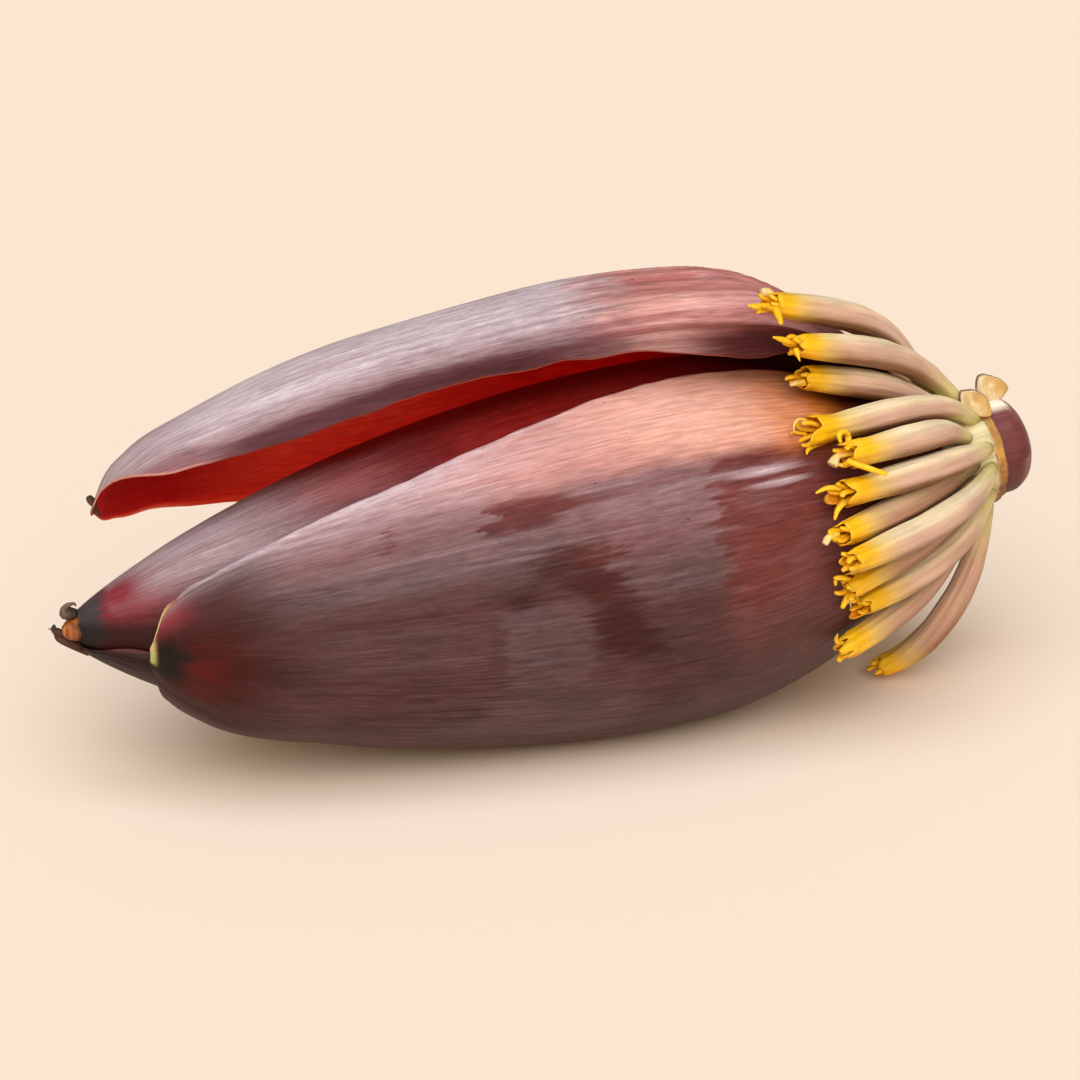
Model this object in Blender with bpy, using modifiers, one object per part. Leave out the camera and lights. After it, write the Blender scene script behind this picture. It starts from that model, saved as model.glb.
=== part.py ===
"""Banana blossom lying on its side, in metres with +Z up.

The stem end points to +X and the closed tip of the bud to -X. The near side is -Y.
The origin is in the middle of the flat patch on which the blossom rests.

Every leaf-like part (a bract) is a piece of a tube round the axis of the bud, so the
shapes are written in the bud's own measures:
  station  distance along the axis from the tip of the bud, in millimetres
  radius   distance from the axis, in millimetres
  angle    position round the axis in degrees: 0 near side, 90 top, 180 far side, -90 below
"""

import bpy
import numpy as np

MM = 0.001
COLLECTION = "banana_blossom"

# How the straight blossom is laid down
BEND_RADIUS = 1060.0
STRAIGHT_STATION = 100.0
REST_STATION = 128.0
PITCH = np.radians(2.2)
AXIS_HEIGHT = 43.2

# Inner bud. Each half of its profile is BUD_RADIUS * (1 - t**inner)**outer, with t from
# 0 at the fattest place to 1 at the end of that half
BUD_RADIUS = 42.3
FATTEST_STATION = 143.0
BUD_END_STATION = 222.5
BUD_CUT_STATION = 219.6
TIP_INNER_POWER = 1.9
TIP_OUTER_POWER = 0.82
BASE_INNER_POWER = 2.4
BASE_OUTER_POWER = 0.87
BUD_SEGMENTS = 30
BUD_RINGS = 24
BUD_FLOOR = 3.0

# Peduncle: profile as (station, radius)
PEDUNCLE_PROFILE = (
    (222.0, 0.0),
    (222.0, 9.4),
    (224.5, 11.6),
    (236.0, 12.4),
    (243.0, 12.2),
    (245.6, 10.8),
    (246.6, 8.2),
    (246.6, 0.0),
)
PEDUNCLE_STEPS = 28

# Bracts: tables of (station, value). The radius is that of the outside. The centre of
# the tube is moved by "shift" towards "shift_angle", and the bract spans the angle
# middle - half ... middle + half. "floor" is the lowest that it reaches.
FRONT_BRACT = {
    "radius": (
        (16.5, 5.5),
        (18.5, 10.5),
        (23.0, 16.5),
        (30.0, 22.3),
        (60.0, 33.2),
        (100.0, 41.9),
        (125.0, 44.9),
        (145.0, 45.6),
        (162.0, 44.4),
        (185.0, 37.9),
        (205.0, 26.4),
        (221.0, 13.4),
    ),
    "shift": (
        (16.5, 10.5),
        (18.5, 8.4),
        (23.0, 5.9),
        (30.0, 4.4),
        (60.0, 2.0),
        (110.0, 0.0),
        (221.0, 0.0),
    ),
    "shift_angle": -15.0,
    "half": (
        (16.5, 22.0),
        (18.5, 50.0),
        (23.0, 65.2),
        (30.0, 72.0),
        (42.0, 79.0),
        (60.0, 87.6),
        (80.0, 90.5),
        (110.0, 94.2),
        (140.0, 98.6),
        (221.0, 100.0),
    ),
    "middle": (
        (16.5, -2.0),
        (23.0, -14.6),
        (30.0, -21.5),
        (42.0, -26.0),
        (60.0, -28.6),
        (110.0, -26.0),
        (140.0, -25.2),
        (221.0, -25.0),
    ),
    "thickness": 0.9,
    "floor": 0.0,
    "columns": 20,
    "rows": 28,
}
# The under bract lies on the bud all over, so it has a cover in place of a radius
UNDER_BRACT = {
    "cover": 1.55,
    "half": ((4.0, 40.0), (8.0, 72.0), (22.0, 94.0), (60.0, 96.0), (218.0, 96.0)),
    "middle": ((4.0, -100.0), (22.0, -108.0), (218.0, -110.0)),
    "thickness": 0.7,
    "floor": 1.5,
    "columns": 20,
    "rows": 22,
}
LIFTED_BRACT = {
    "radius": (
        (10.5, 5.5),
        (14.0, 11.5),
        (19.5, 15.5),
        (30.0, 20.0),
        (50.0, 28.0),
        (80.0, 37.0),
        (130.0, 44.3),
        (165.0, 45.8),
        (180.0, 44.4),
        (195.0, 38.6),
        (207.0, 29.6),
        (216.0, 21.2),
        (223.0, 15.2),
    ),
    "shift": (
        (10.5, 22.0),
        (30.0, 24.8),
        (60.0, 24.4),
        (85.0, 22.6),
        (150.0, 19.2),
        (180.0, 14.5),
        (205.0, 6.5),
        (223.0, 0.0),
    ),
    "shift_angle": 118.0,
    "half": (
        (10.5, 24.0),
        (13.5, 54.0),
        (19.0, 70.0),
        (28.0, 77.0),
        (45.0, 77.0),
        (80.0, 72.0),
        (118.0, 70.0),
        (150.0, 73.0),
        (170.0, 76.0),
        (185.0, 77.0),
        (197.0, 73.0),
        (207.0, 67.0),
        (223.0, 64.0),
    ),
    "middle": (
        (10.5, 140.0),
        (19.0, 128.0),
        (28.0, 122.0),
        (80.0, 124.0),
        (118.0, 125.0),
        (160.0, 121.5),
        (185.0, 128.0),
        (205.0, 133.0),
        (223.0, 136.0),
    ),
    "thickness": 1.1,
    "floor": 0.0,
    "columns": 18,
    "rows": 28,
}

# Rows of a bract are closer together near its tip
ROW_CROWDING = 1.5
STEEPEST_COVER = 2.0

# Torn collar: what is left of the bracts that have been broken off, round the stem. Its
# edge rises and falls in waves of (count in a turn, height, phase)
COLLAR_START_STATION = 234.4
COLLAR_WIDTH = 2.6
COLLAR_RADIUS = 13.9
COLLAR_FLARE = 0.7
COLLAR_HALF = 160.0
COLLAR_MIDDLE = 80.0
COLLAR_THICKNESS = 0.8
COLLAR_COLUMNS = 44
COLLAR_ROWS = 3
COLLAR_WAVES = ((7, 0.55, 0.0), (17, 0.35, 1.0))
FLAP_ANGLE = 92.0
FLAP_HALF_WIDTH = 17.0
FLAP_LENGTH = 1.5
FLAP_HEIGHT = 7.5
FLAP_CURL = 1.3

# Flowers: base angle, tip angle, base station, tip station, tip radius, bulge. The
# bulge lifts the two middle control points of a flower's curve off the axis
FLOWERS = (
    (120.0, 137.0, 232.0, 187.0, 58.0, 12.0),
    (91.6, 67.2, 227.5, 167.3, 67.4, 15.1),
    (79.5, 60.5, 232.0, 171.6, 59.7, 9.9),
    (67.0, 59.9, 227.5, 174.9, 48.4, 2.6),
    (56.2, 43.7, 232.0, 173.2, 44.6, 6.6),
    (39.8, 33.0, 227.5, 177.8, 49.5, 8.7),
    (24.0, 23.1, 232.0, 174.8, 47.9, 7.3),
    (13.2, 12.9, 227.5, 170.3, 51.0, 0.9),
    (3.8, 6.2, 232.0, 170.2, 53.9, 8.5),
    (-5.8, -3.5, 227.5, 172.9, 47.8, 1.5),
    (-24.3, -14.8, 232.0, 178.2, 43.5, 3.6),
    (-38.4, -28.3, 227.5, 173.7, 46.2, 2.6),
    (-44.6, -82.2, 232.0, 198.8, 47.7, 12.6),
    (-78.0, -96.0, 227.5, 203.0, 43.0, 5.0),
)
FLOWER_BASE_RADIUS = 14.9
FLOWER_RISE_BACK = 9.0
FLOWER_RISE_RADIUS = 19.0
FLOWER_RISE_BULGE = 0.7
FLOWER_LEAN_STATION = 207.0
FLOWER_LEAN_RADIUS = 33.0
FLOWER_LEAN_BULGE = 1.3
FLOWER_POINTS = 11
FLOWER_WIDEST = 3.6
FLOWER_GIRTH = ((0.0, 0.45), (0.25, 0.72), (0.6, 1.0), (0.9, 0.92), (1.0, 0.5))

# Material name: (red, green, blue), roughness
MATERIALS = {
    "bud_skin": ((0.23, 0.13, 0.15), 0.55),
    "front_bract_skin": ((0.17, 0.065, 0.075), 0.50),
    "under_bract_skin": ((0.10, 0.03, 0.035), 0.50),
    "lifted_bract_skin": ((0.42, 0.24, 0.26), 0.55),
    "stem_skin": ((0.26, 0.10, 0.10), 0.55),
    "dried_edge": ((0.55, 0.38, 0.16), 0.75),
    "flower_skin": ((0.72, 0.56, 0.36), 0.55),
}


def smooth_table(value, table):
    """Reads a (position, value) table with a curve that is smooth at each entry."""
    x, y = (np.array(column, float) for column in zip(*table))
    steps = np.diff(y) / np.diff(x)
    weights = np.diff(x)
    slopes = np.empty_like(y)
    slopes[0] = steps[0]
    slopes[-1] = steps[-1]
    inner = (steps[:-1] * weights[1:] + steps[1:] * weights[:-1]) / (weights[:-1] + weights[1:])
    slopes[1:-1] = np.where(steps[:-1] * steps[1:] > 0, inner, 0.0)
    value = np.clip(value, x[0], x[-1])
    cell = np.clip(np.searchsorted(x, value, side="right") - 1, 0, len(x) - 2)
    width = x[cell + 1] - x[cell]
    t = (value - x[cell]) / width
    return (
        (1 + 2 * t) * (1 - t) ** 2 * y[cell]
        + t * (1 - t) ** 2 * width * slopes[cell]
        + t * t * (3 - 2 * t) * y[cell + 1]
        + t * t * (t - 1) * width * slopes[cell + 1]
    )


def bud_radius(station):
    """The bud's profile: two halves of a stretched circle that meet at its fattest place."""
    base_length = BUD_END_STATION - FATTEST_STATION
    to_tip = np.clip((FATTEST_STATION - station) / FATTEST_STATION, 0, 1)
    to_base = np.clip((station - FATTEST_STATION) / base_length, 0, 1)
    tip_half = (1 - to_tip**TIP_INNER_POWER) ** TIP_OUTER_POWER
    base_half = (1 - to_base**BASE_INNER_POWER) ** BASE_OUTER_POWER
    return BUD_RADIUS * tip_half * base_half


def lay_down(station, across, up):
    """World position in metres of a point of the straight blossom."""
    turn = (station - STRAIGHT_STATION) / BEND_RADIUS
    rest_turn = (REST_STATION - STRAIGHT_STATION) / BEND_RADIUS
    along = (BEND_RADIUS - up) * np.sin(turn) - BEND_RADIUS * np.sin(rest_turn)
    rise = BEND_RADIUS * np.cos(rest_turn) - (BEND_RADIUS - up) * np.cos(turn)
    x = along * np.cos(PITCH) - rise * np.sin(PITCH)
    z = along * np.sin(PITCH) + rise * np.cos(PITCH) + AXIS_HEIGHT
    return np.stack([x, across + 0 * x, z], axis=-1) * MM


def around(station, radius, angle, shift=0.0, shift_angle=0.0):
    """World position of a point given by station, radius and angle about a shifted axis."""
    angle = np.radians(angle)
    shift_angle = np.radians(shift_angle)
    across = -shift * np.cos(shift_angle) - radius * np.cos(angle)
    up = shift * np.sin(shift_angle) + radius * np.sin(angle)
    return lay_down(station, across, up)


def read_points(mesh):
    points = np.empty(len(mesh.vertices) * 3)
    mesh.vertices.foreach_get("co", points)
    return points.reshape(-1, 3)


def write_points(mesh, points):
    mesh.vertices.foreach_set("co", np.asarray(points, np.float64).ravel())
    mesh.update()


def clear_scene():
    for old in list(bpy.data.objects):
        bpy.data.objects.remove(old)
    for old in list(bpy.data.collections):
        bpy.data.collections.remove(old)


def make_materials():
    for name, (colour, roughness) in MATERIALS.items():
        material = bpy.data.materials.new(name)
        material.use_nodes = True
        shader = material.node_tree.nodes["Principled BSDF"]
        shader.inputs["Base Color"].default_value = (*colour, 1.0)
        shader.inputs["Roughness"].default_value = roughness
        shader.inputs["Metallic"].default_value = 0.0
        material.diffuse_color = (*colour, 1.0)


def keep(part, name, material, collection):
    """Names the part, gives it its material and moves it to the blossom's collection."""
    part.name = name
    part.data.name = name
    part.data.materials.clear()
    part.data.materials.append(bpy.data.materials[material])
    if part.type == "MESH":
        part.data.shade_smooth()
    for other in list(part.users_collection):
        other.objects.unlink(part)
    collection.objects.link(part)
    return part


def grid_sheet(columns, rows):
    """A flat grid. Returns it with its two measures, from -1 to 1 across and 0 to 1 along."""
    bpy.ops.mesh.primitive_grid_add(x_subdivisions=columns, y_subdivisions=rows, size=2)
    sheet = bpy.context.object
    points = read_points(sheet.data)
    return sheet, -points[:, 0], (points[:, 1] + 1) / 2


def thicken(sheet, thickness):
    """Gives a sheet its thickness on the inside, so its points stay on the outside."""
    solidify = sheet.modifiers.new("thickness", "SOLIDIFY")
    solidify.thickness = thickness * MM
    solidify.offset = -1.0
    solidify.use_even_offset = True
    solidify.use_rim = True


def cover_radius(station, cover):
    """Radius of a skin that lies "cover" off the bud, measured square to its surface."""
    slope = bud_radius(station + 0.5) - bud_radius(station - 0.5)
    slope = np.clip(slope, -STEEPEST_COVER, STEEPEST_COVER)
    return bud_radius(station) + cover * np.hypot(1.0, slope)


def make_bract(name, bract, material, collection):
    """Bends a flat grid into a piece of tube, with more rows near the tip."""
    sheet, across, along = grid_sheet(bract["columns"], bract["rows"])
    first = bract["half"][0][0]
    last = bract["half"][-1][0]
    station = first + (last - first) * along**ROW_CROWDING
    middle = smooth_table(station, bract["middle"])
    half = smooth_table(station, bract["half"])
    if "cover" in bract:
        radius = cover_radius(station, bract["cover"])
        points = around(station, radius, middle + across * half)
    else:
        radius = smooth_table(station, bract["radius"])
        shift = smooth_table(station, bract["shift"])
        points = around(station, radius, middle + across * half, shift, bract["shift_angle"])
    points[:, 2] = np.maximum(points[:, 2], bract["floor"] * MM)
    write_points(sheet.data, points)
    thicken(sheet, bract["thickness"])
    return keep(sheet, name, material, collection)


def make_bud(collection):
    """A sphere whose rings are slid along the axis and sized by the bud's profile."""
    bpy.ops.mesh.primitive_uv_sphere_add(segments=BUD_SEGMENTS, ring_count=BUD_RINGS, radius=1)
    bud = bpy.context.object
    points = read_points(bud.data)
    station = BUD_END_STATION * (1 + points[:, 2]) / 2
    ring = np.hypot(points[:, 0], points[:, 1])
    ring = np.where(ring > 1e-6, ring, 1.0)
    radius = bud_radius(station)
    across = points[:, 0] / ring * radius
    up = points[:, 1] / ring * radius
    points = lay_down(np.minimum(station, BUD_CUT_STATION), across, up)
    points[:, 2] = np.maximum(points[:, 2], BUD_FLOOR * MM)
    write_points(bud.data, points)
    return keep(bud, "inner_bud", "bud_skin", collection)


def make_peduncle(collection):
    """The stem's profile turned round the axis by a Screw, then laid along the bent axis."""
    middle = (PEDUNCLE_PROFILE[0][0] + PEDUNCLE_PROFILE[-1][0]) / 2
    profile = [(radius * MM, 0.0, (station - middle) * MM) for station, radius in PEDUNCLE_PROFILE]
    edges = [(i, i + 1) for i in range(len(profile) - 1)]
    mesh = bpy.data.meshes.new("peduncle")
    mesh.from_pydata(profile, edges, [])
    stem = bpy.data.objects.new("peduncle", mesh)
    screw = stem.modifiers.new("turn", "SCREW")
    screw.axis = "Z"
    screw.steps = PEDUNCLE_STEPS
    screw.render_steps = PEDUNCLE_STEPS
    screw.use_merge_vertices = True
    screw.merge_threshold = 0.00001
    screw.use_normal_calculate = True
    tilt = (middle - STRAIGHT_STATION) / BEND_RADIUS + PITCH
    stem.location = lay_down(np.array(middle), np.array(0.0), np.array(0.0))
    stem.rotation_euler = (0.0, np.pi / 2 - tilt, 0.0)
    return keep(stem, "peduncle", "stem_skin", collection)


def make_collar(collection):
    """A ragged strip rolled round the stem, with one flap torn up and outwards."""
    strip, across, along = grid_sheet(COLLAR_COLUMNS, COLLAR_ROWS)
    angle = COLLAR_MIDDLE + across * COLLAR_HALF
    flap = np.exp(-(((angle - FLAP_ANGLE) / FLAP_HALF_WIDTH) ** 2))
    width = COLLAR_WIDTH + FLAP_LENGTH * flap
    for count, height, phase in COLLAR_WAVES:
        width += height * np.sin(count * np.radians(angle) + phase)
    station = COLLAR_START_STATION + along * width
    radius = COLLAR_RADIUS + along * COLLAR_FLARE + along**FLAP_CURL * FLAP_HEIGHT * flap
    write_points(strip.data, around(station, radius, angle))
    thicken(strip, COLLAR_THICKNESS)
    return keep(strip, "torn_collar", "dried_edge", collection)


def make_flower(name, flower, collection):
    """A thick thread along a curve that leaves the stem outwards and leans to the tip."""
    base_angle, tip_angle, base_station, tip_station, tip_radius, bulge = flower
    rise_radius = FLOWER_RISE_RADIUS + FLOWER_RISE_BULGE * bulge
    lean_radius = FLOWER_LEAN_RADIUS + FLOWER_LEAN_BULGE * bulge
    controls = np.array(
        [
            [base_station, FLOWER_BASE_RADIUS, base_angle],
            [base_station - FLOWER_RISE_BACK, rise_radius, base_angle],
            [FLOWER_LEAN_STATION, lean_radius, tip_angle],
            [tip_station, tip_radius, tip_angle],
        ]
    )
    u = np.linspace(0, 1, FLOWER_POINTS)[:, None]
    path = (
        (1 - u) ** 3 * controls[0]
        + 3 * u * (1 - u) ** 2 * controls[1]
        + 3 * u**2 * (1 - u) * controls[2]
        + u**3 * controls[3]
    )
    points = around(path[:, 0], path[:, 1], path[:, 2])
    girth = smooth_table(u[:, 0], FLOWER_GIRTH)
    curve = bpy.data.curves.new(name, "CURVE")
    curve.dimensions = "3D"
    curve.bevel_depth = FLOWER_WIDEST * MM
    curve.bevel_resolution = 1
    curve.use_fill_caps = True
    spline = curve.splines.new("POLY")
    spline.points.add(FLOWER_POINTS - 1)
    for point, place, size in zip(spline.points, points, girth):
        point.co = (*place, 1.0)
        point.radius = size
    thread = bpy.data.objects.new(name, curve)
    return keep(thread, name, "flower_skin", collection)


def main():
    clear_scene()
    collection = bpy.data.collections.new(COLLECTION)
    bpy.context.scene.collection.children.link(collection)
    make_materials()
    make_bud(collection)
    make_bract("under_bract", UNDER_BRACT, "under_bract_skin", collection)
    make_bract("front_bract", FRONT_BRACT, "front_bract_skin", collection)
    make_bract("lifted_bract", LIFTED_BRACT, "lifted_bract_skin", collection)
    make_peduncle(collection)
    make_collar(collection)
    for number, flower in enumerate(FLOWERS, start=1):
        make_flower(f"flower_{number:02d}", flower, collection)


main()
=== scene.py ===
# %% [markdown]
# # A banana blossom lying on its side
#
# A banana blossom is a bud of leaf-like bracts wrapped tightly over one another, with rows
# of slender flowers under each bract. This one has been picked: the outermost bract stands
# off the bud, a fan of cream flowers with yellow mouths shows at the stem end, and the stem
# is cut short just behind a torn collar.
#
# The solids of the part are already packed. They say where everything is and how large it
# is, so they come in first and stay fixed. Each solid then gets a detailed piece that
# stands for it.

import bpy
import numpy as np
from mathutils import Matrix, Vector


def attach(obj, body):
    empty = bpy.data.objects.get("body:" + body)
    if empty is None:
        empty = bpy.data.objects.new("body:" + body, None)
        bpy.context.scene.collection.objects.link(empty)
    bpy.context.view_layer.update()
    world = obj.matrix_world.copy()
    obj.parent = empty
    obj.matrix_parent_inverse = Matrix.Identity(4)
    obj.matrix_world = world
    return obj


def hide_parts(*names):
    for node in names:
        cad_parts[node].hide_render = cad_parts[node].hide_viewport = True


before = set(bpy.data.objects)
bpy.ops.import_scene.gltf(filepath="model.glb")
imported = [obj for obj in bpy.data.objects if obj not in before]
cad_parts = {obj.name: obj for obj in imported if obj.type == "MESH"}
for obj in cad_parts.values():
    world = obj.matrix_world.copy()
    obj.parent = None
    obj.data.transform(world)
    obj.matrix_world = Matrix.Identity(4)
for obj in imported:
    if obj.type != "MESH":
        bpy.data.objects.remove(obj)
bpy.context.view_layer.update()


# %% [markdown]
# ## Camera, floor and light
#
# The blossom is seen from its near side, a little towards its tip and from above, through a
# long lens, which keeps the two ends at nearly the same scale. The camera looks along
# `-back`, a direction made of an azimuth and an elevation.

# %% Camera
AZIMUTH = np.radians(-22.0)
ELEVATION = np.radians(20.0)
DISTANCE = 0.645
LOOK_AT = np.array([-0.012, 0.0, 0.0478])


def direction(azimuth, elevation):
    """Unit vector towards a viewer: (sin a cos e, -cos a cos e, sin e)."""
    level = np.cos(elevation)
    return np.array([np.sin(azimuth) * level, -np.cos(azimuth) * level, np.sin(elevation)])


back = direction(AZIMUTH, ELEVATION)
camera = bpy.data.objects.new("camera", bpy.data.cameras.new("camera"))
camera.data.lens = 90
camera.data.sensor_width = 36
camera.data.clip_start = 0.01
camera.data.clip_end = 20
camera.location = LOOK_AT + back * DISTANCE
camera.rotation_euler = Vector(-back).to_track_quat("-Z", "Y").to_euler()
bpy.context.scene.collection.objects.link(camera)
bpy.context.scene.camera = camera
print("camera at", np.round(camera.location, 3))

# %% [markdown]
# Colours are easiest to think of as the 0 to 255 numbers of a colour picker, but shaders
# work with linear light. The helper below turns the one into the other, so that every
# colour in this file can be written in the familiar way. The scene is viewed with the
# Standard transform, which shows those numbers unchanged.

# %% Colours
bpy.context.scene.view_settings.view_transform = "Standard"


def colour(red, green, blue):
    """Linear colour of a picker colour: c/12.92 below 0.04, else ((c + 0.055)/1.055)**2.4."""
    c = np.array([red, green, blue]) / 255.0
    linear = np.where(c < 0.04045, c / 12.92, ((c + 0.055) / 1.055) ** 2.4)
    return (*(float(v) for v in linear), 1.0)


print("mid grey in linear light:", round(colour(128, 128, 128)[0], 3))

# %% [markdown]
# Materials are small graphs of nodes. One helper adds a node and fills its sockets, either
# with a value or with another node's output, and a few more name the steps that come back
# again and again. Numbers and colours that are stored on a piece's points are read as
# attributes. The one called `skin` holds each point's place on the skin in centimetres, and
# patterns are squeezed or drawn out there.

# %% Node helpers


def node(tree, kind, inputs=(), **settings):
    """Adds a shader node. Inputs are (socket, value or output) pairs."""
    made = tree.nodes.new("ShaderNode" + kind)
    for name, value in settings.items():
        setattr(made, name, value)
    for socket, value in inputs:
        if isinstance(value, bpy.types.NodeSocket):
            tree.links.new(value, made.inputs[socket])
        else:
            made.inputs[socket].default_value = value
    return made


def field(tree, name):
    """A number stored on the piece's points."""
    return node(tree, "Attribute", attribute_name=name).outputs["Fac"]


def painted(tree, name):
    """A colour stored on the piece's points."""
    return node(tree, "Attribute", attribute_name=name).outputs["Color"]


def skin_places(tree, squeeze):
    """Places on the skin in centimetres, each axis times its own number in squeeze."""
    place = node(tree, "Attribute", attribute_name="skin").outputs["Vector"]
    return node(tree, "Mapping", [("Vector", place), ("Scale", squeeze)]).outputs[0]


print("node helpers ready")

# %% [markdown]
# Each of the next helpers stands for one step of a pattern: a cloudy noise, a soft step
# between two values, one sum, a mix of two colours, and a bump that tilts the surface.

# %% Pattern helpers


def noise(tree, places, scale, detail=3.0, roughness=0.55, distortion=0.0):
    """Cloudy pattern from 0 to 1."""
    inputs = [
        ("Vector", places),
        ("Scale", scale),
        ("Detail", detail),
        ("Roughness", roughness),
        ("Distortion", distortion),
    ]
    return node(tree, "TexNoise", inputs).outputs["Fac"]


def skin_noise(tree, squeeze, *looks):
    """Cloudy pattern on the skin, with the detail, roughness and distortion in looks."""
    return noise(tree, skin_places(tree, squeeze), 1.0, *looks)


def soft_step(tree, value, low, high, to_low=0.0, to_high=1.0):
    """Goes smoothly from to_low to to_high while value goes from low to high."""
    inputs = [
        ("Value", value),
        ("From Min", low),
        ("From Max", high),
        ("To Min", to_low),
        ("To Max", to_high),
    ]
    return node(tree, "MapRange", inputs, interpolation_type="SMOOTHSTEP").outputs["Result"]


def calc(tree, operation, first, second, third=0.0):
    """One arithmetic step."""
    inputs = [(0, first), (1, second), (2, third)]
    return node(tree, "Math", inputs, operation=operation).outputs[0]


def mix(tree, amount, first, second, method="MIX"):
    """Mixes two colours."""
    inputs = [(0, amount), (6, first), (7, second)]
    made = node(tree, "Mix", inputs, data_type="RGBA", blend_type=method)
    return made.outputs[2]


def bump(tree, height, depth, under=None):
    """Tilts the surface as if it had this height, with depth in metres."""
    inputs = [("Height", height), ("Strength", 1.0), ("Distance", depth)]
    if under is not None:
        inputs.append(("Normal", under))
    return node(tree, "Bump", inputs).outputs["Normal"]


print("pattern helpers ready")

# %% [markdown]
# A finish is a material with one Principled shader. Sockets that stay the same everywhere
# are filled with a value, and the others are wired to the outputs of patterns.

# %% Finish helpers


def new_finish(name, **sockets):
    """A material with one Principled shader. Returns it, its node tree and the shader."""
    made = bpy.data.materials.new(name)
    made.use_nodes = True
    shader = made.node_tree.nodes["Principled BSDF"]
    for socket, value in sockets.items():
        shader.inputs[socket.replace("_", " ")].default_value = value
    return made, made.node_tree, shader


def wire(tree, shader, **outputs):
    """Links outputs to the shader's sockets."""
    for socket, output in outputs.items():
        tree.links.new(output, shader.inputs[socket.replace("_", " ")])


print("finish helpers ready")

# %% [markdown]
# The floor is a sheet of peach paper, large enough to fill the view at any height of the
# camera. Its fibres are far too fine to see one by one, so two layers of noise shift the
# colour a little and give a bump of two hundredths of a millimetre.

# %% Floor
FLOOR_HALF = 6.0
FIBRE_BUMP = 0.00002


def paper_finish():
    """Peach paper: three close tones mixed by clouds and by fibres, which also tilt it."""
    material, tree, shader = new_finish("peach_paper", Roughness=0.9)
    shader.inputs["Specular IOR Level"].default_value = 0.1
    places = node(tree, "TexCoord").outputs["Object"]
    clouds = noise(tree, places, 6.0, 4.0)
    fibres = noise(tree, places, 900.0, 2.0)
    tone = mix(tree, clouds, colour(243, 224, 207), colour(244, 226, 209))
    tone = mix(tree, fibres, tone, colour(244, 226, 210))
    wire(tree, shader, Base_Color=tone, Normal=bump(tree, fibres, FIBRE_BUMP))
    return material


def make_floor():
    """One large square at the height of the surface that the blossom lies on."""
    corners = [(-1, -1), (1, -1), (1, 1), (-1, 1)]
    mesh = bpy.data.meshes.new("floor")
    mesh.from_pydata([(x * FLOOR_HALF, y * FLOOR_HALF, 0.0) for x, y in corners], [], [(0, 1, 2, 3)])
    made = bpy.data.objects.new("floor", mesh)
    made.data.materials.append(paper_finish())
    bpy.context.scene.collection.objects.link(made)
    return made


floor = make_floor()
print("floor is", 2 * FLOOR_HALF, "m across")

# %% [markdown]
# A studio lights such a thing with a large soft box overhead. A sun lamp with a wide angle
# does the same and stays even over the whole floor, where an area lamp would leave a bright
# pool. It stands towards the viewer, and a warm reflector low in front adds to it, so that
# the shadow is short and soft. The world adds a little warm light from all round. All the
# light that reaches into the shadow is warm, and so the shadow is brown rather than grey.

# %% Light
LAMP_DISTANCE = 1.5


def add_sun(name, azimuth, elevation, strength, spread, tint):
    """A sun lamp that shines from the given direction, with its spread in degrees."""
    lamp = bpy.data.lights.new(name, "SUN")
    lamp.energy = strength
    lamp.angle = np.radians(spread)
    lamp.color = tint
    made = bpy.data.objects.new(name, lamp)
    toward = direction(np.radians(azimuth), np.radians(elevation))
    made.rotation_euler = Vector(-toward).to_track_quat("-Z", "Y").to_euler()
    made.location = toward * LAMP_DISTANCE
    bpy.context.scene.collection.objects.link(made)


def light_world(ambient, seen):
    """Warm light from all round. The camera sees the paper's colour instead."""
    world = bpy.data.worlds.new("studio")
    world.use_nodes = True
    tree = world.node_tree
    tree.nodes.clear()
    around_it, behind_it = (
        node(tree, "Background", [("Color", tone), ("Strength", 1.0)]).outputs[0]
        for tone in (ambient, seen)
    )
    camera_ray = node(tree, "LightPath").outputs["Is Camera Ray"]
    both = node(tree, "MixShader", [(0, camera_ray), (1, around_it), (2, behind_it)]).outputs[0]
    out = tree.nodes.new("ShaderNodeOutputWorld")
    tree.links.new(both, out.inputs["Surface"])
    bpy.context.scene.world = world


add_sun("overhead_soft_box", -25.0, 58.0, 2.70, 70.0, (0.75, 0.89, 1.0))
add_sun("front_reflector", -22.0, 28.0, 1.75, 60.0, (1.0, 0.78, 0.55))
light_world((0.29, 0.21, 0.135, 1.0), colour(250, 229, 209))

# %% [markdown]
# ## The blossom's own measures
#
# Every bract is a piece of a tube wrapped round the bud, so shapes are written in three
# measures that follow the bud. The station is the distance along its axis from its tip in
# millimetres, the radius is the distance from that axis, and the angle goes round it: 0 on
# the near side, 90 on top, 180 on the far side. `lay_down` then bends the axis a little,
# tips it up by some 2 degrees, and turns millimetres into metres. `REST_STATION` is the
# place along the axis that ends up at the middle of the scene.

# %% Bending and laying down
MM = 0.001
BEND_RADIUS = 1060.0
STRAIGHT_STATION = 100.0
REST_STATION = 128.0
PITCH = np.radians(2.2)
AXIS_HEIGHT = 43.2


def lay_down(station, across, up):
    """World position of a point of the straight blossom. The axis is an arc of BEND_RADIUS,
    so a point turns by (station - STRAIGHT_STATION)/BEND_RADIUS about the arc's centre."""
    turn = (station - STRAIGHT_STATION) / BEND_RADIUS
    rest_turn = (REST_STATION - STRAIGHT_STATION) / BEND_RADIUS
    along = (BEND_RADIUS - up) * np.sin(turn) - BEND_RADIUS * np.sin(rest_turn)
    rise = BEND_RADIUS * np.cos(rest_turn) - (BEND_RADIUS - up) * np.cos(turn)
    x = along * np.cos(PITCH) - rise * np.sin(PITCH)
    z = along * np.sin(PITCH) + rise * np.cos(PITCH) + AXIS_HEIGHT
    return np.stack([x, across + 0 * x, z], axis=-1) * MM


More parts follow.
